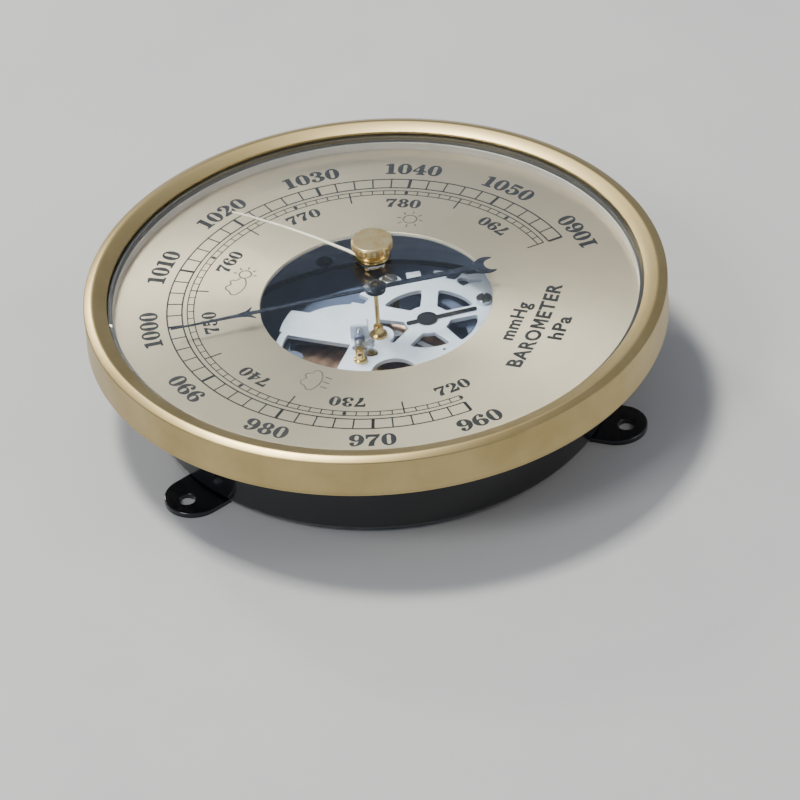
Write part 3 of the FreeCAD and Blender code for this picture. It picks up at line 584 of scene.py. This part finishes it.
@dataclass
class Housing:
    """The brass bezel, the black pot with its lugs, and the rings that hold the glass."""

    bench: Bench
    skirt_r: float = 63.5
    skirt_z: float = 20.6
    corner_z: float = 29.2
    ridge: tuple[float, float] = (61.5, 30.0)
    inner: tuple[float, float] = (58.4, 28.9)
    wall: float = 0.8
    glass_r: float = 61.2
    glass_apex: float = 36.4
    glass_t: float = 1.2
    sphere_r: float = 214.6
    hole_r: float = 2.2
    sight_r: tuple[float, float] = (57.0, 60.9)
    sight_z: tuple[float, float] = (24.1, 26.0)
    lining_r: float = 50.1
    lining_z: tuple[float, float] = (2.25, 21.5)
    floor_r: float = 45.6

    def bezel(self) -> None:
        """Turn the bezel: a drawn skirt with a rolled hem, a round ridge and a slope in to the glass."""
        inside = self.skirt_r - self.wall
        hem = self.skirt_z + 0.55
        outline = eased([
            (inside, self.skirt_z, 0.2), (self.skirt_r, self.skirt_z, 0.25), (self.skirt_r, hem, 0.1),
            (self.skirt_r - 0.05, hem + 0.1, 0.1), (self.skirt_r - 0.03, self.corner_z, 0.22),
            (*self.ridge, 0.45), (*self.inner, 0.1), (self.inner[0], self.inner[1] - 0.52),
            (self.inner[0] + 0.8, self.inner[1] - 0.7), (self.ridge[0], self.ridge[1] - 0.95),
            (inside, self.corner_z - 0.6)])
        self.bench.dress(self.bench.lathe("bezel_ring", outline, 256), "satin_brass", node="bezel")

    def dome(self, drop: float, inner_r: float, outer_r: float, steps: int = 28) -> list[Vector]:
        """Points along a dome parallel to the glass.

        Args:
            drop: How far it lies below the glass's outer face, in mm.
            inner_r: Radius where it starts.
            outer_r: Radius where it ends.
            steps: Pieces between them.

        Returns:
            Radius and height of each point.
        """
        sphere = self.sphere_r - drop
        middle = self.glass_apex - self.sphere_r
        radii = [inner_r + (outer_r - inner_r) * i / steps for i in range(steps + 1)]
        return [Vector((r, middle + math.sqrt(sphere ** 2 - r ** 2))) for r in radii]

    def crystal(self) -> None:
        """Turn the domed glass with its ground edge and its middle hole."""
        ground = 0.15
        top = self.dome(0.0, self.hole_r, self.glass_r - ground)
        under = self.dome(self.glass_t, self.hole_r, self.glass_r - ground)
        rim_top = self.dome(ground, self.hole_r, self.glass_r)[-1]
        rim_low = self.dome(self.glass_t - ground, self.hole_r, self.glass_r)[-1]
        outline = top + [rim_top, rim_low] + under[::-1]
        self.bench.dress(self.bench.lathe("crystal_glass", outline, 160), "clear_glass", node="crystal")

    def rings(self) -> None:
        """Turn the sight ring under the glass and its gasket."""
        (inner, outer), (low, high) = self.sight_r, self.sight_z
        outline = eased([(inner, low), (inner, high, 0.2), (outer, high), (outer, low)])
        self.bench.dress(self.bench.lathe("sight_ring", outline, 160), "grey_lacquer", node="rehaut_ring")
        seal = eased([(inner + 0.2, high), (outer, high), (outer, high + 0.3),
                      (inner + 0.2, high + 1.33, 0.2)])
        piece = self.bench.lathe("glass_gasket", seal, 160)
        self.bench.dress(piece, "black_rubber", node="crystal_gasket")

    def pot(self) -> None:
        """Finish the pressed pot, its lugs, rivets and screws, all with softened edges."""
        self.bench.refine(
            Fitting("case_shell", 0.12), Fitting("mounting_lugs", 0.12), Fitting("lug_rivets", 0.08),
            Fitting("base_screws", 0.1), Fitting("adjusting_bush", 0.08),
            Fitting("adjusting_screw", 0.1, "adjuster"))

    def lining(self) -> None:
        """Line the inside of the pot's wall and floor with the slate coat that shows past the dial; its
        colour is painted light, lightened to make up for the shade deep in the pot.
        """
        r, (low, high), thick = self.lining_r, self.lining_z, 0.1
        outline = eased([(self.floor_r, low), (r, low, 0.9), (r, high), (r - thick, high),
                         (r - thick, low + thick, 0.9), (self.floor_r, low + thick)])
        piece = self.bench.lathe("pot_lining", outline, 128)
        # painted light: the lining's slate is lightened well past the real coat to stand in for light in the
        # shaded pot
        self.bench.dress(piece, "dark_steel", finish=Finishes.SLATE_PAINT)

    def build(self) -> None:
        """Make the whole housing."""
        self.bezel()
        self.lining()
        self.crystal()
        self.rings()
        self.pot()


# ---------------------------------------------------------------- dial

class Style(Enum):
    """How a figure on the dial stands."""

    OUTWARD = "tops away from the middle"
    INWARD = "tops towards the middle"


class Figures:
    """Fat-faced figures with thin serifs, one unit high, each a set of closed loops.

    A loop's point is x and y, with a 0 after them at a corner.
    """

    SIX: tuple[Loop, ...] = (
        ((.46, 1.02), (.68, .93), (.73, .80), (.62, .70), (.51, .80), (.55, .90),
         (.46, .95), (.30, .74), (.28, .54, 0), (.46, .60), (.80, .30), (.42, -.02),
         (.02, .48)),
        ((.43, .53), (.54, .30), (.42, .05), (.28, .30)))
    LOOPS: dict[str, tuple[Loop, ...]] = {
        "0": (((.40, 1.02), (.78, .5), (.40, -.02), (.02, .5)),
              ((.40, .95), (.52, .5), (.40, .05), (.28, .5))),
        "1": (((.06, 0, 0), (.60, 0, 0), (.60, .07, 0), (.46, .09, 0), (.46, 1, 0), (.30, 1, 0),
               (.05, .93, 0), (.05, .86, 0), (.20, .88, 0), (.20, .09, 0), (.06, .07, 0)),),
        "2": (((.38, 1.02), (.74, .74), (.56, .46), (.24, .22, 0), (.50, .21), (.65, .25),
               (.69, .36, 0), (.76, .36, 0), (.71, 0, 0), (.04, 0, 0), (.05, .10, 0), (.38, .47),
               (.48, .74), (.37, .95), (.23, .89), (.28, .78), (.16, .67), (.05, .78),
               (.12, .95)),),
        "3": (((.36, 1.02), (.71, .76), (.52, .53, 0), (.77, .27), (.36, -.02), (.10, .07),
               (.03, .21), (.14, .33), (.26, .22), (.22, .10), (.35, .05), (.51, .27),
               (.35, .49), (.26, .49, 0), (.26, .56, 0), (.35, .57), (.46, .77), (.35, .95),
               (.24, .90), (.28, .79), (.17, .68), (.06, .79), (.12, .95)),),
        "4": (((.46, 1, 0), (.61, 1, 0), (.61, .36, 0), (.77, .36, 0), (.77, .28, 0), (.61, .28, 0),
               (.61, .08, 0), (.71, .07, 0), (.71, 0, 0), (.26, 0, 0), (.26, .07, 0), (.37, .08, 0),
               (.37, .28, 0), (.02, .28, 0), (.02, .35, 0)),
              ((.37, .36, 0), (.37, .78, 0), (.11, .36, 0))),
        "5": (((.13, 1, 0), (.69, 1, 0), (.66, .82, 0), (.20, .82, 0), (.20, .60, 0), (.40, .66),
               (.78, .33), (.38, -.02), (.10, .07), (.03, .21), (.14, .33), (.26, .22),
               (.22, .10), (.35, .05), (.52, .33), (.36, .58), (.20, .50, 0), (.13, .50, 0)),),
        "6": SIX,
        "7": (((.05, 1, 0), (.76, 1, 0), (.76, .92, 0), (.52, .40), (.47, 0, 0), (.20, 0, 0),
               (.30, .40), (.62, .80, 0), (.30, .82), (.15, .77), (.12, .66, 0), (.05, .66, 0)),),
        "8": (((.40, 1.02), (.72, .77), (.56, .53, 0), (.78, .26), (.40, -.02), (.02, .26),
               (.24, .53, 0), (.08, .77)),
              ((.40, .95), (.50, .77), (.40, .58), (.30, .77)),
              ((.40, .48), (.53, .26), (.40, .05), (.27, .26))),
        "9": tuple(tuple((.82 - x, 1 - y, *corner) for x, y, *corner in loop) for loop in SIX),
    }
    ADVANCE: dict[str, float] = {"1": 0.74}
    WIDEST = 0.9
    WEIGHT = 0.022
    BREADTH = 1.06

    def __init__(self, bench: Bench, thick: float) -> None:
        """Model each figure once.

        Args:
            bench: The modelling steps.
            thick: Thickness of the ink, in mm.
        """
        self.bench = bench
        self.masters = {text: self.model(text, loops, thick) for text, loops in self.LOOPS.items()}

    def model(self, text: str, loops: tuple[Loop, ...], thick: float) -> bpy.types.Object:
        """Model one figure, 1 mm high, on z = 0, of its outlines and the ink's thickness in mm."""
        return self.bench.drawn("figure_" + text, loops, dimensions="2D", fill_mode="BOTH", resolution_u=5,
                                extrude=thick * MM / 2, offset=self.WEIGHT * MM)

    def middle(self, text: str) -> float:
        """Return how far a figure's middle lies from its left side, in units of its height."""
        across = [point[0] for loop in self.LOOPS[text] for point in loop]
        return (min(across) + max(across)) / 2

    def number(self, text: str, height: float, radius: float, degrees: float, z: float,
               style: Style) -> list[bpy.types.Object]:
        """Set a number on a circle round the dial's middle.

        Args:
            text: The number.
            height: Height of its figures, in mm.
            radius: Radius of the figures' middles, in mm.
            degrees: Angle of the number's middle.
            z: Height of the ink's middle, in mm.
            style: Which way its tops point.

        Returns:
            One piece for each figure.
        """
        advances = [self.ADVANCE.get(c, self.WIDEST) * height for c in text]
        along = -sum(advances) / 2
        turn = -1 if style is Style.OUTWARD else 1
        pieces = []
        for c, advance in zip(text, advances):
            angle = degrees + turn * math.degrees((along + advance / 2) / radius)
            at = polar(radius, angle)
            upright = math.radians(angle - 90 if style is Style.OUTWARD else angle + 90)
            matrix = (Matrix.Translation((at.x * MM, at.y * MM, z * MM))
                      @ Matrix.Rotation(upright, 4, "Z")
                      @ Matrix.Diagonal((height * self.BREADTH, height, 1, 1))
                      @ Matrix.Translation((-self.middle(c) * MM, -0.5 * MM, 0)))
            pieces.append(self.bench.placed(self.masters[c], matrix))
            along += advance
        return pieces

    def clear(self) -> None:
        """Remove the masters."""
        for piece in self.masters.values():
            bpy.data.objects.remove(piece)


@dataclass
class Dial:
    """The champagne dial with its two scales, its words and its weather signs."""

    bench: Bench
    top: float = 24.1
    thick: float = 0.8
    outer_r: float = 60.4
    hole_r: float = 25.3
    scale_r: float = 45.5
    ink: float = 0.03
    low_hpa: int = 960
    high_hpa: int = 1060
    low_mmhg: int = 720
    high_mmhg: int = 795
    hpa_per_mmhg: float = 1.3332
    degrees_per_hpa: float = 2.7
    upright_hpa: int = 1010
    tracks: tuple[float, float, float, float] = (1.0, 0.928, 0.903, 0.872)
    fives_in: float = 0.815
    numbers_at: tuple[float, float] = (1.088, 0.80)
    figure_heights: tuple[float, float] = (3.8, 3.0)
    lines: tuple[float, float, float] = (0.34, 0.7, 0.25)
    dot: float = 0.9
    sign_line: float = 0.17

    @property
    def ink_z(self) -> float:
        """Height of the middle of the printed ink, in mm."""
        return self.top + self.ink / 2

    def angle(self, hpa: float) -> float:
        """Return the dial angle, anticlockwise from 3 o'clock, of a pressure."""
        return 90 - (hpa - self.upright_hpa) * self.degrees_per_hpa

    def plate(self) -> None:
        """Turn the dial plate, with the bright chamfer round its opening."""
        low = self.top - self.thick
        outline = eased([(self.hole_r, low), (self.outer_r, low), (self.outer_r, self.top),
                         (self.hole_r + 0.1, self.top, 0.03), (self.hole_r, self.top - 0.1, 0.03)])
        self.bench.dress(self.bench.lathe("dial_face", outline, 192), "champagne_dial", node="dial_plate")

    def printed(self, name: str, parts: list[bpy.types.Object], ink: Finish = Finishes.INK) -> None:
        """Join what one plate prints, and ink it."""
        self.bench.dress(self.bench.join(name, parts), "champagne_dial", finish=ink)

    def arc(self, radius: float, width: float, first: float, last: float) -> bpy.types.Object:
        """Print a circular line.

        Args:
            radius: Its radius, in mm.
            width: Its width, in mm.
            first: Angle where it starts, in degrees.
            last: Angle where it ends.

        Returns:
            A thin closed strip.
        """
        bpy.ops.object.select_all(action="DESELECT")
        at = polar(radius, first)
        bpy.ops.mesh.primitive_plane_add(size=1, location=(at.x * MM, at.y * MM, self.ink_z * MM),
                                         rotation=(math.pi / 2, 0, math.radians(first)))
        piece = bpy.context.object
        piece.scale = (width * MM, self.ink * MM, 1)
        piece = self.bench.settle()
        sweep = last - first
        with self.bench.editing(piece):
            bpy.ops.mesh.spin(steps=max(int(abs(sweep) / 1.5), 2), angle=-math.radians(sweep),
                              axis=(0, 0, 1), center=(0, 0, 0))
            bpy.ops.mesh.select_all(action="SELECT")
            bpy.ops.mesh.normals_make_consistent(inside=False)
        return piece

    def ticks(self, r_out: float, r_in: float, width: float, values: Sequence[float]) -> bpy.types.Object:
        """Print ticks at even steps.

        Args:
            r_out: Radius of their outer ends, in mm.
            r_in: Radius of their inner ends.
            width: Their width, in mm.
            values: Their pressures in hPa, evenly spaced.

        Returns:
            One mesh with all of them.
        """
        bpy.ops.object.select_all(action="DESELECT")
        first = self.angle(values[0])
        at = polar((r_out + r_in) / 2, first)
        bpy.ops.mesh.primitive_cube_add(size=1, location=(at.x * MM, at.y * MM, self.ink_z * MM),
                                        rotation=(0, 0, math.radians(first)))
        piece = bpy.context.object
        piece.scale = ((r_out - r_in) * MM, width * MM, self.ink * MM)
        piece = self.bench.settle()
        if len(values) > 1:
            with self.bench.editing(piece):
                sweep = self.angle(values[-1]) - first
                bpy.ops.mesh.spin(steps=len(values) - 1, angle=-math.radians(sweep), dupli=True,
                                  axis=(0, 0, 1), center=(0, 0, 0))
        return piece

    def scales(self) -> None:
        """Print the hPa and the mmHg tracks."""
        r1, r2, r3, r4 = (share * self.scale_r for share in self.tracks)
        first, last = self.angle(self.low_hpa), self.angle(self.high_hpa)
        fine, bold, hair = self.lines
        tens, twos = (range(self.low_hpa, self.high_hpa + 1, step) for step in (10, 2))
        self.printed("hpa_scale", [self.arc(r1, fine, first, last), self.arc(r2, fine, first, last),
                                   self.ticks(r1, r2, fine, twos), self.ticks(r1, r2, bold, tens)])
        low, high = self.low_mmhg, self.high_mmhg
        first, last = self.angle(low * self.hpa_per_mmhg), self.angle(high * self.hpa_per_mmhg)
        ones, fives, tens = ([p * self.hpa_per_mmhg for p in range(start, high + 1, step)]
                             for start, step in ((low, 1), (low + 5, 10), (low, 10)))
        middle, half = (r3 + r4) / 2, self.dot / 2
        self.printed("mmhg_scale", [
            self.arc(r3, hair, first, last), self.arc(r4, hair, first, last),
            self.ticks(r3, r4, hair, ones), self.ticks(r3, self.fives_in * self.scale_r, fine, fives),
            self.ticks(middle + half, middle - half, 0.8, tens)])

    def numbers(self) -> None:
        """Print both rings of numbers."""
        figures = Figures(self.bench, self.ink)
        (outside, inside), (large, small) = self.numbers_at, self.figure_heights
        parts = []
        for p in range(self.low_hpa, self.high_hpa + 1, 10):
            style = Style.INWARD if p < 990 or p == self.high_hpa else Style.OUTWARD
            parts += figures.number(str(p), large, outside * self.scale_r, self.angle(p), self.ink_z, style)
        self.printed("hpa_numbers", parts)
        parts = []
        for p in range(self.low_mmhg, self.high_mmhg, 10):
            style = Style.INWARD if p in (720, 790) else Style.OUTWARD
            angle = self.angle(p * self.hpa_per_mmhg)
            parts += figures.number(str(p), small, inside * self.scale_r, angle, self.ink_z, style)
        self.printed("mmhg_numbers", parts)
        figures.clear()

    def fitted(self, piece: bpy.types.Object, x: float, y: float, width: float, height: float,
               bend_r: float) -> bpy.types.Object:
        """Stretch flat lettering to a size, put it in place and bend it to a curve.

        Args:
            piece: The lettering, anywhere on the dial's face.
            x: Where its middle goes across the dial, in mm.
            y: Where its middle goes up the dial, in mm.
            width: Its width, in mm.
            height: Its height, tails and all, in mm.
            bend_r: Radius of the curve that it follows, in mm, or 0 for a straight line.

        Returns:
            The same piece.
        """
        points = [vertex.co for vertex in piece.data.vertices]
        low, high = (Vector(end(point[i] for point in points) for i in (0, 1)) for end in (min, max))
        middle, size = (low + high) / 2, high - low
        for vertex in piece.data.vertices:
            across = (x + (vertex.co.x - middle.x) / size.x * width) * MM
            lift = across ** 2 / (2 * bend_r * MM) if bend_r else 0.0
            vertex.co.y = (y + (vertex.co.y - middle.y) / size.y * height) * MM + lift
            vertex.co.x = across
        return piece

    def word(self, text: str, x: float, y: float, width: float, height: float,
             bend_r: float = 0.0) -> bpy.types.Object:
        """Print heavy plain letters, upright at 6 o'clock; the arguments are those of fitted()."""
        bpy.ops.object.select_all(action="DESELECT")
        bpy.ops.object.text_add(location=(0, 0, self.ink_z * MM))
        piece = bpy.context.object
        piece.data.body, piece.data.space_character = text, 1.1
        piece.data.size, piece.data.resolution_u = 4 * MM, 4
        piece.data.offset, piece.data.extrude = 0.13 * MM, self.ink * MM / 2
        return self.fitted(self.bench.as_mesh(piece), x, y, width, height, bend_r)

    def letter_m(self, *fit: float) -> bpy.types.Object:
        """Print an M of the same weight, whose notch stays open where the font's would fill."""
        outline = ((0, 0), (.2, 0), (.2, .62), (.38, .18), (.5, .18), (.68, .62), (.68, 0), (.88, 0),
                   (.88, 1), (.62, 1), (.44, .52), (.26, 1), (0, 1))
        piece = self.bench.drawn("letter_m", [[(*point, 0) for point in outline]], self.ink_z,
                                 dimensions="2D", fill_mode="BOTH", extrude=self.ink * MM / 2)
        return self.fitted(piece, *fit)

    def words(self) -> None:
        """Print the instrument's name and its two units."""
        name_y, letters, bend = -37.0, 3.4, 120
        self.printed("dial_words", [
            self.word("mmHg", 0.1, -32.1, 13.8, 4.2), self.word("BARO", -8.7, name_y, 13.6, 3.5, bend),
            self.letter_m(0.35, name_y, 3.3, letters, bend),
            self.word("ETER", 8.85, name_y, 12.5, letters, bend), self.word("hPa", 0.1, -41.7, 8.5, 3.3)])

    def stroke(self, points: Loop, at: Vector, size: float, closed: bool = True) -> bpy.types.Object:
        """Draw one fine line of a weather sign, as a flattened tube.

        Args:
            points: x, y and a 0 at a corner, in units of the sign's half width.
            at: Middle of the sign, in mm.
            size: Half width of the sign, in mm.
            closed: Whether the line comes back to its start.
        """
        loop = [(at.x + x * size, at.y + y * size, *corner) for x, y, *corner in points]
        return self.bench.drawn("sign", [loop], self.top, 0.15, closed, dimensions="3D", resolution_u=6,
                                bevel_depth=self.sign_line * MM, bevel_resolution=1, use_fill_caps=True)

    def sun(self, at: Vector, size: float, first_ray: int = 0, rays: int = 8) -> list[bpy.types.Object]:
        """Draw a sun with some of its eight rays."""
        disc = [tuple(polar(0.5, 90 * k)) for k in range(4)]
        parts = [self.stroke(disc, at, size)]
        for k in range(first_ray, first_ray + rays):
            ray = [(*polar(0.68, 45 * k), 0), (*polar(1, 45 * k), 0)]
            parts.append(self.stroke(ray, at, size, closed=False))
        return parts

    def cloud(self, at: Vector, size: float) -> bpy.types.Object:
        """Draw a cloud with a flat base and three heads."""
        outline = [(-0.75, -0.45), (-1.0, -0.1), (-0.7, 0.2, 0), (-0.35, 0.6), (0.1, 0.35, 0),
                   (0.5, 0.5), (0.65, 0.15, 0), (1.0, -0.1), (0.8, -0.45)]
        return self.stroke(outline, at, size)

    def signs(self) -> None:
        """Draw rain on the left, change at the top and sun on the right."""
        rain_at, rain_size = Vector((-30.5, 4.2)), 3.4
        parts = self.sun(Vector((30.5, 2.5)), 3.0)
        parts += self.sun(Vector((2.0, 31.0)), 2.7, -2, 5)
        parts.append(self.cloud(Vector((-2.6, 31.6)), 3.2))
        parts.append(self.cloud(rain_at, rain_size))
        for k in (-1, 0, 1):
            drop = [(0.5 * k, -0.75, 0), (0.5 * k - 0.12, -1.25, 0)]
            parts.append(self.stroke(drop, rain_at, rain_size, closed=False))
        self.printed("weather_signs", parts, Finishes.SIGN_INK)

    def build(self) -> None:
        """Make the dial and everything printed on it."""
        self.plate()
        self.scales()
        self.numbers()
        self.words()
        self.signs()
        self.bench.refine(Fitting("dial_seat_ring", 0.1, name="dial_seat"))


# ---------------------------------------------------------------- hands

@dataclass
class Hands:
    """The set hand with its knob through the glass, and the pressure hand."""

    bench: Bench
    knob_r: float = 4.5
    knob_z: float = 38.75
    knob_top: float = 40.9
    grooves: int = 24
    groove: float = 0.5
    facets_per_groove: int = 6

    def knob(self) -> None:
        """Turn the knob, then sink its knurl between two plain bands."""
        top, r = self.knob_top, self.knob_r
        low, neck = self.knob_z, r - 0.1
        outline = eased([(0, low), (r - 0.45, low, 0.1), (neck, low + 0.3, 0.05), (neck, low + 0.32),
                         (r, low + 0.34), (r, top - 0.52), (neck, top - 0.42), (neck, top - 0.08, 0.15),
                         (r - 0.6, top, 0.2), (0, top)])
        piece = self.bench.lathe("set_knob_knurled", outline, self.grooves * self.facets_per_groove)
        half = 180 / self.grooves

        def in_groove(middle: Vector) -> bool:
            """Say if a face lies on the wall, within a groove's half of its pitch."""
            on_wall = middle.xy.length > r - 0.04 and low + 0.34 < middle.z < top - 0.5
            turn = math.degrees(math.atan2(middle.y, middle.x)) % (2 * half)
            return on_wall and turn < half

        with self.bench.editing(piece, "FACE", in_groove):
            bpy.ops.mesh.extrude_region_shrink_fatten(TRANSFORM_OT_shrink_fatten={"value": -self.groove * MM})
        self.bench.soften(piece, 0.04)
        self.bench.dress(piece, "turned_brass", "set_pointer", Finishes.KNOB_BRASS, "set_knob")

    def build(self) -> None:
        """Make the knob, both hands and the fittings on their axes."""
        self.knob()
        self.bench.refine(
            Fitting("spindle_bush", 0.06, name="spindle_collar"),
            Fitting("bush_washer", 0.03, name="collar_washer"),
            Fitting("bush_nut", 0.05, name="collar_nut"),
            Fitting("set_collet", 0.04, "set_pointer", "set_hand_collet"),
            Fitting("set_hand", 0.04, "set_pointer", "set_hand_strip"),
            Fitting("pressure_hand", 0.05, "hand", "pressure_hand_blade"),
            Fitting("hand_hub", 0.05, "hand", "pressure_hand_hub"),
            Fitting("arbor_bush", 0.05, name="hand_arbor_bush"))


# ---------------------------------------------------------------- movement

@dataclass
class Movement:
    """Plates, capsule, levers and gears under the dial's opening."""

    bench: Bench
    capsule_r: float = 20.5
    capsule_top: float = 10.4
    capsule_low: float = 7.2
    seam: float = 8.9
    flat_r: float = 4.0
    wave_r: float = 17.2
    rim_r: float = 18.9
    waves: int = 4
    wave_h: float = 0.5
    sheet: float = 0.38
    eye_r: float = 2.3

    def diaphragm(self, node: str, name: str, top: float, seam: float, up: int, eye: float = 0.0) -> None:
        """Turn one corrugated half of the capsule.

        Args:
            node: The CAD node that it stands for.
            name: Its name.
            top: Height of its flat middle, in mm.
            seam: Height of its flange's joint face.
            up: 1 for the upper half, -1 for the lower.
            eye: Radius of the eye that the post's foot sinks into, or 0 for none.
        """
        low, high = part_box(node)
        centre = ((low.x + high.x) / 2 / MM, (low.y + high.y) / 2 / MM)
        steps = self.waves * 12
        wavy = []
        for i in range(steps + 1):
            share = i / steps
            dip = self.wave_h * (1 - math.cos(FULL_TURN * self.waves * share)) / 2
            wavy.append(Vector((self.flat_r + (self.wave_r - self.flat_r) * share, top - up * dip)))
        flange = seam + up * self.sheet
        edge, joint = self.capsule_r - 0.1, seam + up * 0.02
        outer = [Vector((eye, top))] + wavy + eased([
            (self.rim_r, flange), (edge, flange, 0.12), (edge, joint)])
        drop = Vector((0, -up * self.sheet))
        inner = [Vector((self.rim_r - 0.4, joint))] + [p + drop for p in wavy[::-1]]
        piece = self.bench.lathe(name, outer + inner + [Vector((eye, top)) + drop], 144, centre)
        self.bench.dress(piece, "copper_alloy", node=node)

    def metalwork(self) -> None:
        """Finish the plates, screws, levers and gears with softened edges."""
        self.bench.refine(
            Fitting("bridge_plate", 0.14), Fitting("rocker_block", 0.08), Fitting("lower_plate", 0.12),
            Fitting("base_plate", 0.12), Fitting("bridge_screws", 0.07), Fitting("plate_spacers", 0.06),
            Fitting("index_arm", 0.06, finish=Finishes.BLACK_ENAMEL), Fitting("movement_pillars", 0.08),
            Fitting("capsule_foot", 0.08), Fitting("capsule_post", 0.06, "capsule_top"),
            Fitting("rocker_post", 0.06), Fitting("rocker_shaft", 0.05, "rocker"),
            Fitting("lift_arm", 0.06, "rocker"), Fitting("contact_screw", 0.04, "rocker"),
            Fitting("drop_arm", 0.05, "rocker"), Fitting("link_rod", 0.05, "link"),
            Fitting("sector_gear", 0.02, "sector"), Fitting("sector_arbor", 0.03, "sector"),
            Fitting("spring_plate_block", 0.08), Fitting("spring_plate_screws", 0.05),
            Fitting("capsule_spring_plate", 0.06))

    def build(self) -> None:
        """Make the capsule and finish the metalwork."""
        self.diaphragm("capsule_upper", "capsule_top_half", self.capsule_top, self.seam, 1, self.eye_r)
        self.diaphragm("capsule_lower", "capsule_bottom_half", self.capsule_low, self.seam - 0.01, -1)
        self.metalwork()


def dress_small_parts(finishes: Finishes) -> None:
    """Give each CAD node that is still shown its material.

    Args:
        finishes: The store of materials.
    """
    for name, node in frame["nodes"].items():
        if node.hide_render:
            continue
        finish = Finishes.OF_SLOT[SLOT_OF_NODE[name]]
        for i in range(len(node.data.materials)):
            node.data.materials[i] = finishes(finish)
        LOG.info("%s keeps its CAD shape, in %s", name, finish.name)


# ---------------------------------------------------------------- studio

@dataclass
class Studio:
    """A pale table, soft lamps and the camera."""

    bench: Bench
    elevation: float = 37.237
    heading: float = -68.773
    roll: float = -4.256
    distance: float = 1111.1
    lens: float = 229.95
    aim: tuple[float, float, float] = (0.0, 0.0, 24.1)
    offset: tuple[float, float] = (-5.149, 21.309)

    def camera(self) -> None:
        """Set up the camera: a long lens, a little turned, looking down at the dial."""
        e, h, r = (math.radians(a) for a in (self.elevation, self.heading, self.roll))
        right = Vector((math.cos(h), math.sin(h), 0))
        away = Vector((-math.sin(h), math.cos(h), 0))
        up = away * math.sin(e) + Vector((0, 0, math.cos(e)))
        forward = away * math.cos(e) - Vector((0, 0, math.sin(e)))
        level, tall = right * math.cos(r) + up * math.sin(r), up * math.cos(r) - right * math.sin(r)
        shift = level * self.offset[0] + tall * self.offset[1]
        place = (Vector(self.aim) - shift - forward * self.distance) * MM
        data = bpy.data.cameras.new("camera")
        data.lens, data.sensor_width, data.clip_start, data.clip_end = self.lens, 36, 0.01, 20
        camera = hung("camera", data)
        turn = Matrix((level, tall, -forward)).transposed().to_4x4()
        camera.matrix_world = Matrix.Translation(place) @ turn
        bpy.context.scene.camera = camera

    def table(self) -> None:
        """Lay the table: a wide flat matt top."""
        bpy.ops.object.select_all(action="DESELECT")
        bpy.ops.mesh.primitive_plane_add(size=3.2, location=(0, 0, 0))
        top = self.bench.settle()
        top.name = top.data.name = "studio_table"
        top.data.materials.append(self.bench.finishes(Finishes.TABLE))

    def lamp(self, name: str, azimuth: float, elevation: float, distance: float, size: float,
             power: float, colour: str) -> None:
        """Hang a soft square lamp that faces the object.

        Args:
            name: Its name.
            azimuth: Where it stands, anticlockwise from +X, in degrees.
            elevation: How high, in degrees.
            distance: How far, in metres.
            size: Its side, in metres.
            power: Watts.
            colour: sRGB hex.
        """
        a, e = math.radians(azimuth), math.radians(elevation)
        away = Vector((math.cos(a) * math.cos(e), math.sin(a) * math.cos(e), math.sin(e)))
        data = bpy.data.lights.new(name, "AREA")
        data.shape, data.size, data.energy, data.color = "SQUARE", size, power, linear(colour)[:3]
        lamp = hung(name, data)
        turn = away.to_track_quat("Z", "Y").to_matrix().to_4x4()
        lamp.matrix_world = Matrix.Translation(away * distance) @ turn

    def sky(self) -> None:
        """Fill the room with dim, slightly blue light."""
        world = bpy.data.worlds.new("room")
        world.use_nodes = True
        world.node_tree.nodes.clear()
        light = add_node(world.node_tree, "Background", {"Color": linear("#8E97A6"), "Strength": 0.85})
        add_node(world.node_tree, "OutputWorld", links={"Surface": light.outputs[0]})
        bpy.context.scene.world = world

    def build(self) -> None:
        """Set up the whole studio."""
        self.camera()
        self.table()
        self.sky()
        facing = self.heading - 90
        self.lamp("key", facing - 131, 70, 1.2, 0.2, 13.0, "#FFFDF8")
        self.lamp("rim", facing - 148, 29, 1.6, 0.2, 6.5, "#FFFBF2")
        self.lamp("side", facing - 50, 45, 1.2, 0.4, 5.0, "#FFFFFF")
        self.lamp("fill", facing + 70, 38, 1.4, 0.6, 3.0, "#FFF3E2")


def main() -> None:
    """Build the barometer, piece by piece, and the studio round it."""
    logging.basicConfig(level=logging.INFO, format="%(name)s: %(message)s")
    finishes = Finishes()
    bench = Bench(finishes)
    Studio(bench).build()
    for assembly in (Housing(bench), Dial(bench), Hands(bench), Movement(bench)):
        assembly.build()
    dress_small_parts(finishes)


if __name__ == "__main__":
    main()
